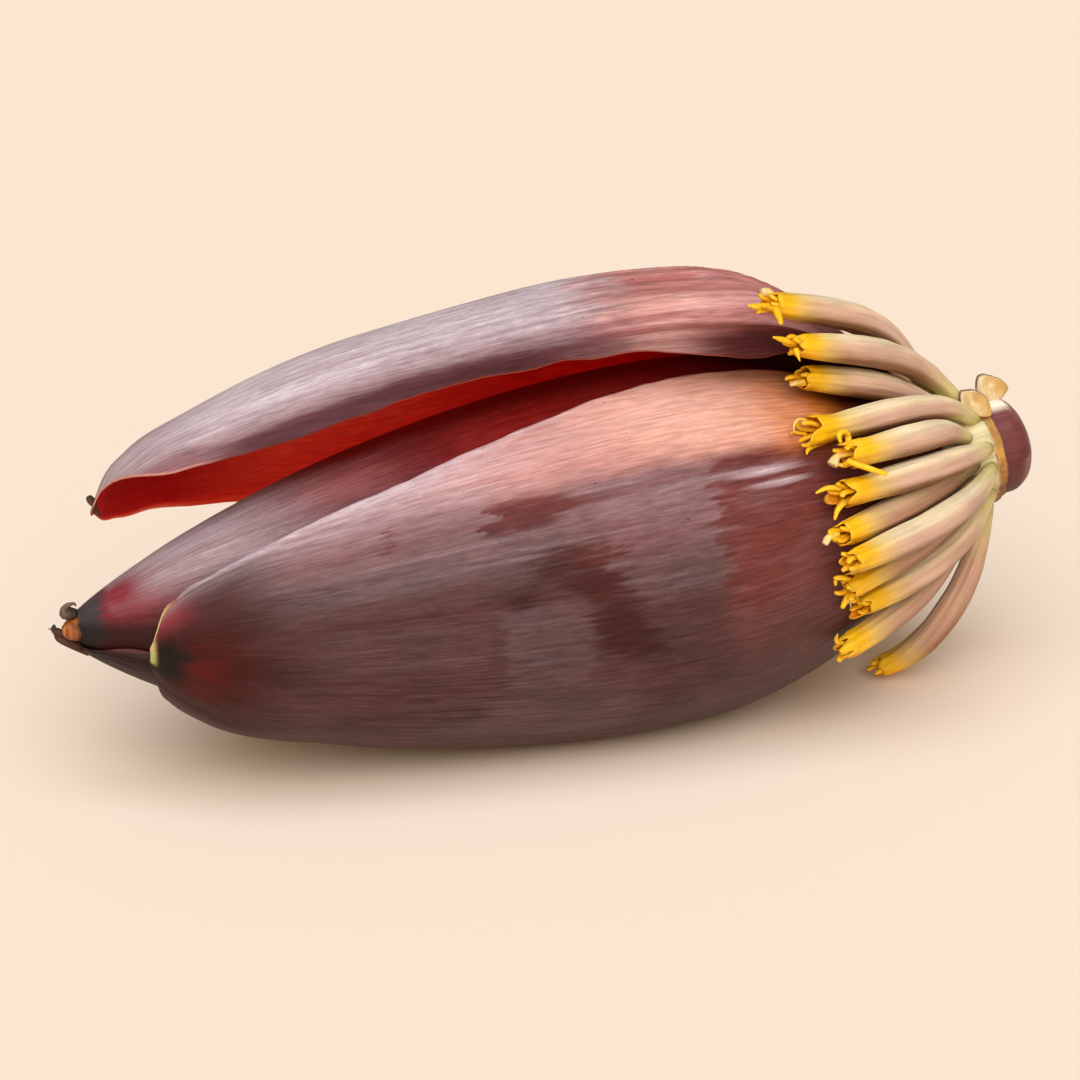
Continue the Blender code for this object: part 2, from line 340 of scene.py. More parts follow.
def around(station, radius, angle, shift=0.0, shift_angle=0.0):
    """World position of (station, radius, angle) about an axis that is moved by shift."""
    angle = np.radians(angle)
    shift_angle = np.radians(shift_angle)
    across = -shift * np.cos(shift_angle) - radius * np.cos(angle)
    up = shift * np.sin(shift_angle) + radius * np.sin(angle)
    return lay_down(station, across, up)


print("bud tip lies at", np.round(around(0.0, 0.0, 0.0), 4))

# %% [markdown]
# Shapes are kept as short tables of (station, value). Straight lines between the entries
# would show as creases, and a common spline swings out past them, so a table is read with
# a cubic whose slopes are held back where the values turn round.

# %% Tables


def smooth_table(value, table):
    """Cubic through the entries: the slope at an entry is the mean of its neighbours' slopes
    weighted by the far step, and 0 where they differ in sign."""
    x, y = (np.array(column, float) for column in zip(*table))
    steps = np.diff(y) / np.diff(x)
    weights = np.diff(x)
    slopes = np.empty_like(y)
    slopes[0] = steps[0]
    slopes[-1] = steps[-1]
    inner = (steps[:-1] * weights[1:] + steps[1:] * weights[:-1]) / (weights[:-1] + weights[1:])
    slopes[1:-1] = np.where(steps[:-1] * steps[1:] > 0, inner, 0.0)
    value = np.clip(value, x[0], x[-1])
    cell = np.clip(np.searchsorted(x, value, side="right") - 1, 0, len(x) - 2)
    width = x[cell + 1] - x[cell]
    t = (value - x[cell]) / width
    return (
        (1 + 2 * t) * (1 - t) ** 2 * y[cell]
        + t * (1 - t) ** 2 * width * slopes[cell]
        + t * t * (3 - 2 * t) * y[cell + 1]
        + t * t * (t - 1) * width * slopes[cell + 1]
    )


print("halfway from 0 to 10 by table:", smooth_table(0.5, ((0, 0.0), (1, 10.0))))

# %% [markdown]
# Two more things come back everywhere: a smooth step, and a lattice noise that bends
# surfaces and mottles colours. A seed names each noise, so the blossom is the same every
# time.

# %% Steps and noise


def ease(value, low, high):
    """0 below low, 1 above high, and 3t^2 - 2t^3 between."""
    t = np.clip((value - low) / (high - low), 0.0, 1.0)
    return t * t * (3 - 2 * t)


def lattice(u, v, seed, size=64):
    """Random heights from -1 to 1 on a size x size lattice, mixed with eased weights
    between its points. It repeats every size steps both ways."""
    heights = np.random.default_rng(seed).uniform(-1, 1, (size, size))
    u, v = np.broadcast_arrays(u, v)
    low_u = np.floor(u).astype(int)
    low_v = np.floor(v).astype(int)
    tu = ease(u - low_u, 0, 1)
    tv = ease(v - low_v, 0, 1)
    here = heights[low_u % size, low_v % size]
    right = heights[(low_u + 1) % size, low_v % size]
    above = heights[low_u % size, (low_v + 1) % size]
    corner = heights[(low_u + 1) % size, (low_v + 1) % size]
    return (here * (1 - tu) + right * tu) * (1 - tv) + (above * (1 - tu) + corner * tu) * tv


def layered(u, v, seed, layers=3):
    """Sum of lattices, each twice as fine and half as high as the one before."""
    total = 0.0
    for layer in range(layers):
        total = total + lattice(u * 2**layer, v * 2**layer, seed + layer) / 2**layer
    return total


def blot(station, angle, at, size):
    """A soft patch: exp(-(ds/size0)^2 - (da/size1)^2), with distances ds and da from `at`."""
    ds = (station - at[0]) / size[0]
    da = (angle - at[1]) / size[1]
    return np.exp(-(ds**2) - da**2)


print("noise at (0.5, 0.5):", round(float(lattice(0.5, 0.5, 1)), 3))

# %% [markdown]
# A bract or a stem is one grid of points bent into shape. Neighbouring points are linked
# into four-sided faces, all at once, by sums on the numbers of the points. A grid whose
# columns go all the way round is a tube, and a point at each end closes it.

# %% From grids to faces


def grid_faces(rows, columns, first=0, closed=False):
    """Faces between the points of a grid. They face outwards where rows run towards the
    stem and columns run round the blossom by rising angle."""
    i = np.arange(rows - 1)[:, None] * columns
    j = np.arange(columns if closed else columns - 1)[None, :]
    beside = (j + 1) % columns
    corners = [i + j, i + columns + j, i + columns + beside, i + beside]
    return first + np.stack(np.broadcast_arrays(*corners), axis=-1).reshape(-1, 4)


def fan_faces(ring, centre):
    """Three-sided faces from a ring of point numbers to one point."""
    return np.stack([ring, np.roll(ring, -1), np.full_like(ring, centre)], axis=-1)


def flat(grid):
    """A grid of numbers, vectors or colours as one list of them."""
    grid = np.asarray(grid)
    return grid.reshape(-1) if grid.ndim == 2 else grid.reshape(-1, grid.shape[-1])


def closed_tube(points, ends):
    """Points and faces of a grid of rings with a point at each end."""
    rows, columns = points.shape[:2]
    count = rows * columns
    rings = np.arange(count).reshape(rows, columns)
    faces = [
        grid_faces(rows, columns, closed=True),
        fan_faces(rings[0], count),
        fan_faces(rings[-1], count + 1)[:, ::-1],
    ]
    return np.concatenate([flat(points), ends]), faces


print("a grid of 4 by 3 points has", len(grid_faces(4, 3)), "faces")

# %% [markdown]
# Points and faces become a mesh, and the mesh becomes a piece that rides on the part and
# stands for one of its solids. Whatever the finishes read is stored on the points: the
# place on the skin, a painted colour and the amount of wax.

# %% From faces to pieces
FIELD_KINDS = {1: ("FLOAT", "value"), 3: ("FLOAT_VECTOR", "vector"), 4: ("FLOAT_COLOR", "color")}


def make_piece(name, points, faces, finish, stands_for, fields):
    """Makes the mesh, turns it into a piece that rides on the part, and stores its fields."""
    mesh = bpy.data.meshes.new(name)
    listed = [face for group in faces for face in group.tolist()]
    mesh.from_pydata(points.tolist(), [], listed)
    for key, values in fields.items():
        values = np.asarray(values, np.float32)
        numbers = 1 if values.ndim == 1 else values.shape[-1]
        kind, socket = FIELD_KINDS[numbers]
        mesh.attributes.new(key, kind, "POINT").data.foreach_set(socket, values.ravel())
    mesh.shade_smooth()
    mesh.materials.append(finish)
    made = bpy.data.objects.new(name, mesh)
    bpy.context.scene.collection.objects.link(made)
    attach(made, "root")
    if stands_for:
        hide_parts(*stands_for)
    mesh.calc_loop_triangles()
    print(name, "has", len(mesh.loop_triangles), "triangles")


print("a field can hold", list(FIELD_KINDS), "numbers for each point")

# %% [markdown]
# Colours are painted as arrays too. A piece starts with one colour, and each coat goes
# over what is there by an amount from 0 to 1 that differs from point to point. A list of
# coats, in order, is then the whole painting.

# %% Painting


def skin_field(station, angle, side=0.0):
    """Places on the skin in centimetres: 0.075 for each degree round, 0.1 for each mm."""
    station, angle = np.broadcast_arrays(station, angle)
    return np.stack([angle * 0.075, station * 0.1, side + 0 * station], axis=-1)


def blend(amount, first, second):
    """Colours between two colours, by an amount from 0 to 1 at each point."""
    amount = np.clip(amount, 0.0, 1.0)[..., None]
    return (1 - amount) * np.asarray(first) + amount * np.asarray(second)


def painted_over(tint, *coats):
    """The tint under coats of paint (amount, colour), laid on one after another."""
    for amount, tone in coats:
        tint = blend(amount, tint, tone)
    return tint


print("half black, half white:", np.round(blend(0.5, colour(0, 0, 0), colour(255, 255, 255)), 2))

# %% [markdown]
# ## Leaf skin
#
# The skin of a bract is maroon, but hardly any of it shows as such. A waxy bloom covers it
# with a grey-lilac veil, and wherever the blossom was handled the wax has rubbed off in
# patches with torn edges that run along the ribs. Three fields on the points steer this:
# `wax` says where the veil lies, `veil` how thick it is, and `tint` is the bare skin. The
# veil's edge is a threshold: wax is a smooth hill, and streaky noise added to it before the
# threshold tears its shoreline. An inner face is marked by a wax far below zero, and where
# that is lowest the face lets light through, which makes it glow.

# %% Skin finish
INSIDE_WAX = -1.0
SPECK_TONE = colour(52, 30, 34)
SKIN_GLOSS = 0.12
RIB_DEPTH = 0.00006


def skin_finish(name, wax_tone):
    """Maroon skin under a torn veil of wax, with ribs and a few dark specks.

    shore = wax + 0.5 long streaks + 0.34 short streaks + 0.1 grain
    veil amount = soft step of shore from 0.72 to 1.20, times veil, clouds and streaks"""
    material, tree, shader = new_finish(name)
    shader.inputs["Specular IOR Level"].default_value = SKIN_GLOSS
    wax = field(tree, "wax")
    skin = painted(tree, "tint")

    long_streaks = skin_noise(tree, (5.5, 0.22, 1.0), 4.0, 0.62)
    short_streaks = skin_noise(tree, (13.0, 1.3, 1.0), 3.0, 0.6)
    hairs = skin_noise(tree, (20.0, 0.5, 1.0), 2.0, 0.5)
    mottles = skin_noise(tree, (7.0, 4.0, 1.0), 3.0, 0.6)
    clouds = skin_noise(tree, (0.9, 0.5, 1.0), 4.0, 0.6, 0.4)
    grain = skin_noise(tree, (30.0, 16.0, 1.0), 2.0)

    shore = calc(tree, "MULTIPLY_ADD", long_streaks, 0.50, wax)
    shore = calc(tree, "MULTIPLY_ADD", short_streaks, 0.34, shore)
    shore = calc(tree, "MULTIPLY_ADD", grain, 0.10, shore)
    covered = soft_step(tree, shore, 0.72, 1.20)
    amount = calc(tree, "MULTIPLY", field(tree, "veil"), covered)
    # pattern, the span it is read over, and what it multiplies the veil by at both ends
    for pattern, low, high, least, most in (
        (clouds, 0.2, 0.75, 0.82, 1.05),
        (long_streaks, 0.28, 0.72, 0.66, 1.2),
        (short_streaks, 0.28, 0.72, 0.76, 1.2),
        (hairs, 0.32, 0.68, 0.89, 1.08),
        (mottles, 0.3, 0.7, 0.88, 1.08),
    ):
        amount = calc(tree, "MULTIPLY", amount, soft_step(tree, pattern, low, high, least, most))

    rib_shade = soft_step(tree, short_streaks, 0.3, 0.72, 0.80, 1.18)
    hair_shade = soft_step(tree, hairs, 0.32, 0.68, 0.88, 1.10)
    ribbed = mix(tree, 1.0, skin, rib_shade, "MULTIPLY")
    ribbed = mix(tree, 1.0, ribbed, hair_shade, "MULTIPLY")
    veiled = mix(tree, amount, ribbed, wax_tone)

    dot_places = skin_places(tree, (3.4, 1.9, 1.0))
    dots = node(tree, "TexVoronoi", [("Vector", dot_places), ("Scale", 1.0)])
    near_dot = soft_step(tree, dots.outputs["Distance"], 0.03, 0.075, 1.0, 0.0)
    chosen = soft_step(tree, skin_noise(tree, (1.1, 1.1, 1.0), 2.0), 0.52, 0.62)
    specked = mix(tree, calc(tree, "MULTIPLY", near_dot, chosen), veiled, SPECK_TONE)

    roughness = soft_step(tree, amount, 0.0, 0.6, 0.42, 0.62)
    ribs = bump(tree, short_streaks, RIB_DEPTH)
    ribs = bump(tree, long_streaks, RIB_DEPTH * 3.0, ribs)
    ribs = bump(tree, grain, RIB_DEPTH * 0.4, ribs)
    wire(tree, shader, Base_Color=specked, Roughness=roughness, Normal=ribs)
    let_through = soft_step(tree, wax, INSIDE_WAX + 0.01, INSIDE_WAX + 0.3, 0.9, 0.0)
    wire(tree, shader, Subsurface_Weight=let_through)
    shader.inputs["Subsurface Scale"].default_value = 0.009
    shader.inputs["Subsurface Radius"].default_value = (1.0, 0.2, 0.16)
    return material


print("wax below", INSIDE_WAX + 0.3, "lets light through")

# %% [markdown]
# Four pieces wear this skin. Their wax differs a little: it is palest on the two outer
# bracts, and on the under bract, which lies in the shade, it is painted duller as shade.

# %% The four skins
front_finish = skin_finish("front_bract_skin_ribbed", colour(214, 196, 206))
lifted_finish = skin_finish("lifted_bract_skin_ribbed", colour(212, 199, 208))
bud_finish = skin_finish("bud_skin_ribbed", colour(206, 192, 200))
under_finish = skin_finish("under_bract_skin_ribbed", colour(186, 166, 172))
print("finishes:", [m.name for m in bpy.data.materials if m.name.endswith("ribbed")])

# %% [markdown]
# ## A bract as a thin shell
#
# A bract is a leaf about a millimetre thick. It is given by tables: how far it reaches to
# each side of its middle line at each station, where that line runs, and how far from the
# axis it lies. More columns go to the side that shows. A few waves keep the margin from
# looking cut with a knife.

# %% Bract grid
ROW_CROWDING = 1.25
COLUMN_SHARES = ((0.0, 0.2, 1.0), (-1.0, -0.4, 1.0))
MARGIN_WAVE = 0.9
MARGIN_WAVE_LENGTH = 14


def bract_grid(table, rows, columns):
    """Station and angle at every point. t runs from 0 to 1 and w from -1 to 1, with 80% of
    the columns above w = -0.4: station = first + (last - first) t**1.25, angle = middle +
    w half, plus a wavy margin."""
    t = np.linspace(0, 1, rows)[:, None]
    w = np.interp(np.linspace(0, 1, columns), *COLUMN_SHARES)[None, :]
    first, last = table["half"][0][0], table["half"][-1][0]
    station = first + (last - first) * t**ROW_CROWDING + 0 * w
    side = np.sign(w) * 3 + 10
    wave = MARGIN_WAVE * layered(station / MARGIN_WAVE_LENGTH, side, table["seed"])
    half = smooth_table(station, table["half"]) + wave * ease(station, first + 6, first + 25)
    angle = smooth_table(station, table["middle"]) + w * half
    return station, angle, w + 0 * station


def bract_point(table, station, angle, lift):
    """World position at the bract's own radius plus lift, no lower than its floor."""
    radius = smooth_table(station, table["radius"]) + lift
    shift = smooth_table(station, table["shift"])
    points = around(station, radius, angle, shift, table["shift_angle"])
    points[..., 2] = np.maximum(points[..., 2], table["floor"] * MM)
    return points


print("half of a bract's columns lie above w =", round(np.interp(0.5, *COLUMN_SHARES), 3))

# %% [markdown]
# The inner face lies one wall below every third point of the outer one, which saves points
# where nothing shows, and four strips of faces close the shell round the margins. The wall
# thins towards the margins, as a leaf does. The pattern on the inner face is read 4 cm
# beside that of the outer face, so that the two differ.

# %% Bract shell
BRACT_ROWS = 310
BRACT_COLUMNS = 226
INNER_STEP = 3
COARSE = (slice(None, None, INNER_STEP), slice(None, None, INNER_STEP))
INNER_PATTERN = 4.0
THINNING = 0.10
MARGIN_WALL = 0.45


def rim_faces(fine, coarse):
    """Faces between a row of point numbers and one with every third of its places."""
    parts = [fine[k : len(fine) - INNER_STEP + k : INNER_STEP] for k in range(INNER_STEP + 1)]
    return np.stack([*parts, coarse[1:], coarse[:-1]], axis=-1)


def shell_faces(rows, columns):
    """Faces of a fine outer grid, a coarse inner one wound the other way, and the rims."""
    outer = np.arange(rows * columns).reshape(rows, columns)
    inner_shape = outer[COARSE].shape
    inner = rows * columns + np.arange(inner_shape[0] * inner_shape[1]).reshape(inner_shape)
    return [
        grid_faces(rows, columns),
        grid_faces(*inner_shape, rows * columns)[:, ::-1],
        rim_faces(outer[:, 0], inner[:, 0])[:, ::-1],
        rim_faces(outer[:, -1], inner[:, -1]),
        rim_faces(outer[0], inner[0]),
        rim_faces(outer[-1], inner[-1])[:, ::-1],
    ]


def shell_fields(station, angle, outside, inside):
    """Fields of a shell, from (tint, wax, veil) on its outer grid and on its inner one."""
    inner_skin = skin_field(station[COARSE], angle[COARSE], INNER_PATTERN)
    fields = {"skin": np.concatenate([flat(skin_field(station, angle)), flat(inner_skin)])}
    for key, outer, inner in zip(("tint", "wax", "veil"), outside, inside):
        fields[key] = np.concatenate([flat(outer), flat(inner[COARSE])])
    return fields


def make_bract(name, cad_node, table, rows, columns, ridges, paint, paint_inside, finish):
    """Outer face at radius + ridges, inner face one wall below it, thinner at the margins.
    Each paint function gives the skin's colour, where the wax lies and how thick it is."""
    station, angle, w = bract_grid(table, rows, columns)
    lift = ridges(station, angle)
    edge = ease(1 - np.abs(w), 0, THINNING)
    wall = table["thickness"] * (MARGIN_WALL + (1 - MARGIN_WALL) * edge)
    outer = bract_point(table, station, angle, lift)
    inner = bract_point(table, station, angle, lift - wall)[COARSE]
    inner_floor = table["floor"] + table["thickness"] * 0.5
    inner[..., 2] = np.maximum(inner[..., 2], inner_floor * MM)
    fields = shell_fields(station, angle, paint(station, angle, w), paint_inside(station, angle, w))
    points = np.concatenate([flat(outer), flat(inner)])
    faces = shell_faces(rows, columns)
    make_piece(name, points, faces, finish, [cad_node], fields)


print("a shell of 7 by 7 points has", sum(map(len, shell_faces(7, 7))), "faces")

# %% [markdown]
# ## The front bract
#
# The large bract on the near side wraps round more than half of the bud and carries the
# blossom's weight: its underside is pressed flat on the table. It could be sculpted by
# hand, but tables of its radius and its two margins are easier to change, and noise adds
# the long waves, the ribs and the dents that tables leave out.

# %% Front bract: shape
FRONT = {
    "radius": (
        (16.5, 5.5),
        (18.5, 10.5),
        (23.0, 16.5),
        (30.0, 22.3),
        (60.0, 33.2),
        (100.0, 41.9),
        (125.0, 44.9),
        (145.0, 45.6),
        (162.0, 44.4),
        (185.0, 37.9),
        (205.0, 26.4),
        (221.0, 13.4),
    ),
    "shift": (
        (16.5, 10.5),
        (18.5, 8.4),
        (23.0, 5.9),
        (30.0, 4.4),
        (60.0, 2.0),
        (110.0, 0.0),
        (221.0, 0.0),
    ),
    "shift_angle": -15.0,
    "half": (
        (16.5, 22.0),
        (18.5, 50.0),
        (23.0, 65.2),
        (30.0, 72.0),
        (42.0, 79.0),
        (60.0, 87.6),
        (80.0, 90.5),
        (110.0, 94.2),
        (140.0, 98.6),
        (221.0, 100.0),
    ),
    "middle": (
        (16.5, -2.0),
        (23.0, -14.6),
        (30.0, -21.5),
        (42.0, -26.0),
        (60.0, -28.6),
        (110.0, -26.0),
        (140.0, -25.2),
        (221.0, -25.0),
    ),
    "thickness": 1.0,
    "floor": 0.0,
    "seed": 31,
}


def front_ridges(station, angle):
    """Long shallow waves, a few lengthwise ribs, and dents near the tip's lower edge."""
    waves = 0.28 * layered(station / 55, angle / 22, 41)
    ribs = 0.09 * lattice(station / 70, angle / 2.6, 42) * ease(station, 25, 60)
    dents = 0.55 * layered(station / 9, angle / 14, 43, 2)
    near_tip = (1 - ease(station, 30, 55)) * (1 - ease(angle, -30, 0))
    return waves + ribs + dents * near_tip * 0.6


print("front bract spans", FRONT["half"][-1][0] - FRONT["half"][0][0], "mm of the bud's length")

# %% [markdown]
# Where hands have rubbed the wax off, the dark skin shows in patches with straight sides,
# because wax comes off between two ribs. Each patch is a four-sided panel in station and
# angle. Its two ends and its sides fade over widths of their own, and both are torn by
# noise. The same panels make the veil thicker in places. Thin bright streaks are painted
# in as highlights where a rib would catch the light.

# %% Front bract: rubbed patches


def panel(station, angle, span, arc, fade, lean, seed):
    """1 inside the span of stations and the arc of angles, 0 outside. The two ends fade over
    fade[0] and fade[1] mm and move along by lean mm for each degree, the sides over fade[2]
    degrees."""
    torn = 1.8 * lattice(angle / 0.9, station / 30, seed)
    torn = torn + 1.2 * lattice(angle / 3.5, station / 40, seed + 1)
    torn = torn * (0.3 + 0.22 * (fade[0] + fade[1]))
    s = station - lean * (angle - (arc[0] + arc[1]) / 2) + torn
    a = angle + 0.7 * layered(station / 9, angle / 4, seed + 2, 2)
    starts = ease(s, span[0] - fade[0], span[0] + fade[0])
    stops = ease(s, span[1] - fade[1], span[1] + fade[1])
    opens = ease(a, arc[0] - fade[2], arc[0] + fade[2])
    closes = ease(a, arc[1] - fade[2], arc[1] + fade[2])
    return starts * (1 - stops) * opens * (1 - closes)


# how much wax is gone, span of stations, arc of angles, fade, lean
RUBBED = (
    (0.56, (91, 113), (33, 44), (0.7, 8.0, 2.4), 0.0),
    (0.24, (94, 116), (44, 53), (4.0, 8.0, 3.0), 0.1),
    (0.46, (98, 119), (13, 26), (10.0, 3.5, 3.4), -0.3),
    (0.30, (60, 104), (8, 15), (12.0, 7.0, 3.0), 0.0),
    (0.48, (112, 125), (-14, 14), (3.0, 4.0, 4.0), -0.35),
    (0.34, (66.4, 70.0), (34, 46), (1.0, 1.0, 3.0), 0.12),
    (0.46, (145, 184), (-6, 47), (1.4, 8.0, 5.0), 0.0),
    (0.26, (52, 92), (-36, -12), (6.0, 4.0, 4.0), 0.0),
    (0.26, (121, 142), (-36, -16), (5.0, 5.0, 4.0), 0.0),
    (0.20, (36, 66), (23, 29), (6.0, 9.0, 2.2), 0.0),
)
# gain in thickness, span, arc, fade
THICKER = (
    (0.055, (116, 145), (5, 36), (2.5, 0.8, 2.0)),
    (0.05, (91, 112), (-20, 9), (1.2, 2.0, 2.0)),
    (0.035, (78, 122), (-48, -22), (4.0, 4.0, 4.0)),
    (0.02, (50, 90), (-10, 8), (6.0, 4.0, 3.0)),
)
# painted highlights: thin bright streaks where ribs catch the light
# strength, place as (station, angle), size the same way
PAINTED_GLINTS = (
    (1.00, (160, 35.2), (8.0, 0.9)),
    (0.85, (163, 31.2), (7.0, 0.8)),
    (0.30, (146, 36.8), (20.0, 0.6)),
    (0.22, (104, 27.0), (15.0, 0.5)),
    (0.18, (92, 24.6), (12.0, 0.5)),
    (0.16, (84, 31.5), (20.0, 0.6)),
    (0.16, (118, 40.5), (16.0, 0.6)),
)
print(len(RUBBED), "rubbed patches,", len(THICKER), "thicker ones and", len(PAINTED_GLINTS), "painted_glints")

# %% [markdown]
# The painting itself works in station `s`, angle `a` and `w`, which is 1 on the upper
# margin and -1 on the lower one. The tip is bruised almost black with a pale torn rim. The
# lower half of the bract is painted dark, partly as shade, and the top lighter, partly as
# light; near the stem the top has turned peach, and under the flowers it is painted brown
# as shade. The tint is only the bare skin, and the finish lays the wax and its veil over it.

# %% Front bract: paint


def paint_front(s, a, w):
    """Skin colour, where the wax lies, and how thick it is."""
    mottle = layered(s / 12, a / 9, 51)
    near_tip = 1 - ease(s + 3 * mottle, 30, 50)
    lit = ease(a + 2.5 * mottle, 40, 55)
    bruise = blot(s, a, (17.5, -8), (5.5, 26)) + 0.3 * mottle * blot(s, a, (20, 0), (8, 36))
    # a painted highlight along the upper margin, laid on as a thicker veil
    margin_highlight = ease(w, 0.945, 0.99) * (1 - ease(s, 90, 130)) * ease(s, 22, 30)
    torn_rim = ease(w, 0.90, 0.96) * (1 - ease(s, 18.5, 24.5))
    torn_rim = np.maximum(torn_rim, (1 - ease(s, 16.7, 17.9)) * ease(a, -20, -8))
    rim_tone = blend(ease(s, 17.5, 22), colour(206, 182, 118), colour(176, 128, 112))
    tint = painted_over(
        blend(0.5 + 0.5 * mottle, colour(58, 28, 28), colour(72, 34, 33)),
        # the side brightens towards the stem; the shoulder and the top are painted lighter as light
        (ease(s, 100, 124) * ease(a, 12, 26), colour(93, 41, 40)),
        (ease(s, 140, 150) * ease(a, -34, 12), colour(104, 52, 49)),
        (ease(a, 24, 44) * ease(s, 36, 50), colour(98, 44, 43)),
        (ease(a, 40, 54) * ease(s, 36, 60), colour(118, 66, 68)),
        # the tip is dark on its lower side, with a crimson patch there and a rosy one above
        (0.9 * near_tip * (1 - ease(a, 14, 38)), colour(54, 17, 14)),
        (blot(s, a, (24, -10), (7, 20)), colour(84, 15, 14)),
        (blot(s, a, (20, 38), (4.5, 14)), colour(124, 46, 54)),
        # top turns pink, peach, then orange, partly painted light; painted brown shade under flowers
        (ease(s, 60, 106) * lit, colour(186, 120, 109)),
        (ease(s + 0.4 * a, 132, 160) * lit, colour(216, 154, 132)),
        (ease(s, 140, 158) * lit, colour(212, 148, 120)),
        (ease(s, 158, 172) * ease(a, 34, 52), colour(206, 122, 48)),
        (ease(s, 178, 192), colour(96, 46, 26)),
        # the bruised tip and its pale torn rim
        (1.4 * bruise, colour(28, 20, 16)),
        (torn_rim, rim_tone),
    )

    wax = 0.84 + 0.12 * mottle - 0.8 * ease(s, 172, 190)
    for number, (gone, span, arc, fade, lean) in enumerate(RUBBED):
        wax = wax - gone * panel(s, a, span, arc, fade, lean, 11 + 5 * number)
    wax = wax + 0.45 * panel(s, a, (162, 176), (-10, 18), (3.0, 3.0, 3.0), 0.3, 65)
    # the painted highlights are laid on as extra wax and a thicker veil
    painted_glints = sum(strength * blot(s, a, place, size) for strength, place, size in PAINTED_GLINTS)
    wax = np.clip(wax + 1.5 * painted_glints, -0.2, 1.4) - 1.3 * torn_rim - 0.7 * bruise

    # the veil is thin below and thick on top: wax, and partly painted shade and light
    veil = 0.035 + 0.10 * ease(a, 10, 36) + 0.42 * ease(a, 36, 60)
    veil = veil - 0.34 * ease(s, 70, 130) * ease(a, 36, 58)
    for number, (gain, span, arc, fade) in enumerate(THICKER):
        veil = veil + gain * panel(s, a, span, arc, fade, 0.0, 71 + 5 * number)
    veil = veil * (1 - 0.95 * near_tip * (1 - ease(a, 30, 56))) + 0.2 * margin_highlight
    veil = veil + 0.7 * np.clip(painted_glints, 0, 1)
    return tint, wax, np.clip(veil, 0.0, 0.95)


def paint_front_inside(s, a, w):
    """Dull red that brightens towards the stem."""
    tint = blend(ease(s, 20, 120), colour(110, 28, 26), colour(160, 56, 38))
    return tint, INSIDE_WAX + 0.5 + 0 * s, 0 * s


make_bract(
    "front_bract_leaf",
    "front_bract",
    FRONT,
    BRACT_ROWS,
    BRACT_COLUMNS,
    front_ridges,
    paint_front,
    paint_front_inside,
    front_finish,
)

# %% [markdown]
# ## The bud
#
# Inside, dozens of bracts lie so tightly over each other that they act as one body. It is
# a surface of revolution with a blunt tip. What tells of the bracts is a lengthwise step
# where the margin of one lies over the next, and ribs that run together at the tip.

# %% Bud: shape
BUD_RADIUS = 42.3
FATTEST_STATION = 143.0
BUD_END_STATION = 222.5
BUD_CUT_STATION = 219.6
BUD_FLOOR = 3.0


def bud_radius(station):
    """42.3 (1 - t^1.9)^0.82 (1 - b^2.4)^0.87, where t and b rise from 0 at the fattest place
    to 1 at the tip and at the base."""
    t = np.clip((FATTEST_STATION - station) / FATTEST_STATION, 0, 1)
    b = np.clip((station - FATTEST_STATION) / (BUD_END_STATION - FATTEST_STATION), 0, 1)
    return BUD_RADIUS * (1 - t**1.9) ** 0.82 * (1 - b**2.4) ** 0.87


def bud_overlap(station, angle):
    """The margin of a bract that lies over the next: a step 0.5 mm high that drifts round."""
    margin = 104 + 0.16 * station + 1.5 * lattice(station / 18, 0.5, 61)
    return 0.5 * (1 - ease(angle, margin - 1.5, margin + 1.0)) * ease(station, 8, 30)


print("the bud is", 2 * BUD_RADIUS, "mm across where it is fattest")

# %% [markdown]
# The bud is waxy only near its tip, on the side that is turned up. The rest lies under the
# lifted bract, and the red light and the shade there are painted into its skin. The tip
# itself has dried to slate grey, and in the middle of it sits an orange-brown stub.

# %% Bud: paint


def paint_bud(s, a):
    """Skin colour, where the wax lies, and how thick it is."""
    mottle = layered(s / 10, a / 9, 71)
    shade_under_lifted_bract = ease(a, 84, 98) * ease(s, 36, 56) * (1 - ease(a, 200, 240))
    crimson = blot(s, a, (12, 66), (6.0, 32))
    slate_tone = blend(ease(a, 0, 60), colour(32, 26, 24), colour(66, 60, 62))
    tint = painted_over(
        blend(0.5 + 0.5 * mottle, colour(84, 28, 30), colour(104, 40, 42)),
        # painted: light before the gap, red reflected light in it, shade under the lifted bract
        (0.7 * blot(s, a, (64, 76), (14, 12)), colour(140, 70, 70)),
        (ease(s, 74, 104), colour(120, 24, 20)),
        (shade_under_lifted_bract, colour(92, 18, 16)),
        # crimson behind the tip, and painted shade towards the front bract
        (1.1 * crimson, colour(128, 46, 56)),
        (blot(s, a, (13, 36), (8, 16)), colour(116, 36, 46)),
        (0.9 * (1 - ease(a, 4, 40)) * ease(s, 5, 9), colour(40, 16, 14)),
        # the dried tip: slate, then the stub, darker at its very end
        (1 - ease(s + 0.8 * mottle, 6.4, 10.0), slate_tone),
        (1 - ease(s + 0.3 * mottle, 2.4, 3.6), colour(170, 92, 34)),
        (0.9 * (1 - ease(s, 0.4, 1.3)), colour(96, 56, 30)),
    )
    wax = 0.84 + 0.14 * mottle
    wax = wax - 0.9 * (1 - ease(s, 7, 12))
    wax = wax - 0.6 * (1 - ease(a, 14, 46)) * (1 - ease(s, 30, 50))
    wax = wax - 0.35 * ease(s, 56, 80) - 0.25 * ease(a, 86, 98) * ease(s, 36, 50)
    veil = 0.08 + 0.42 * ease(a, 34, 62) * (1 - ease(s, 34, 66))
    veil = veil * (1 - np.clip(1.1 * crimson, 0, 1)) * (1 - 0.85 * ease(s, 60, 90))
    return tint, np.clip(wax, -0.2, 1.4), veil


print("skin at the fattest place:", np.round(paint_bud(FATTEST_STATION, 90.0)[0][..., :3], 2))

# %% [markdown]
# The grid has more rings near the tip, where the surface turns fastest. Its underside is
# flattened 3 mm above the table, which leaves room for the two bracts that lie below it.

# %% Bud: build


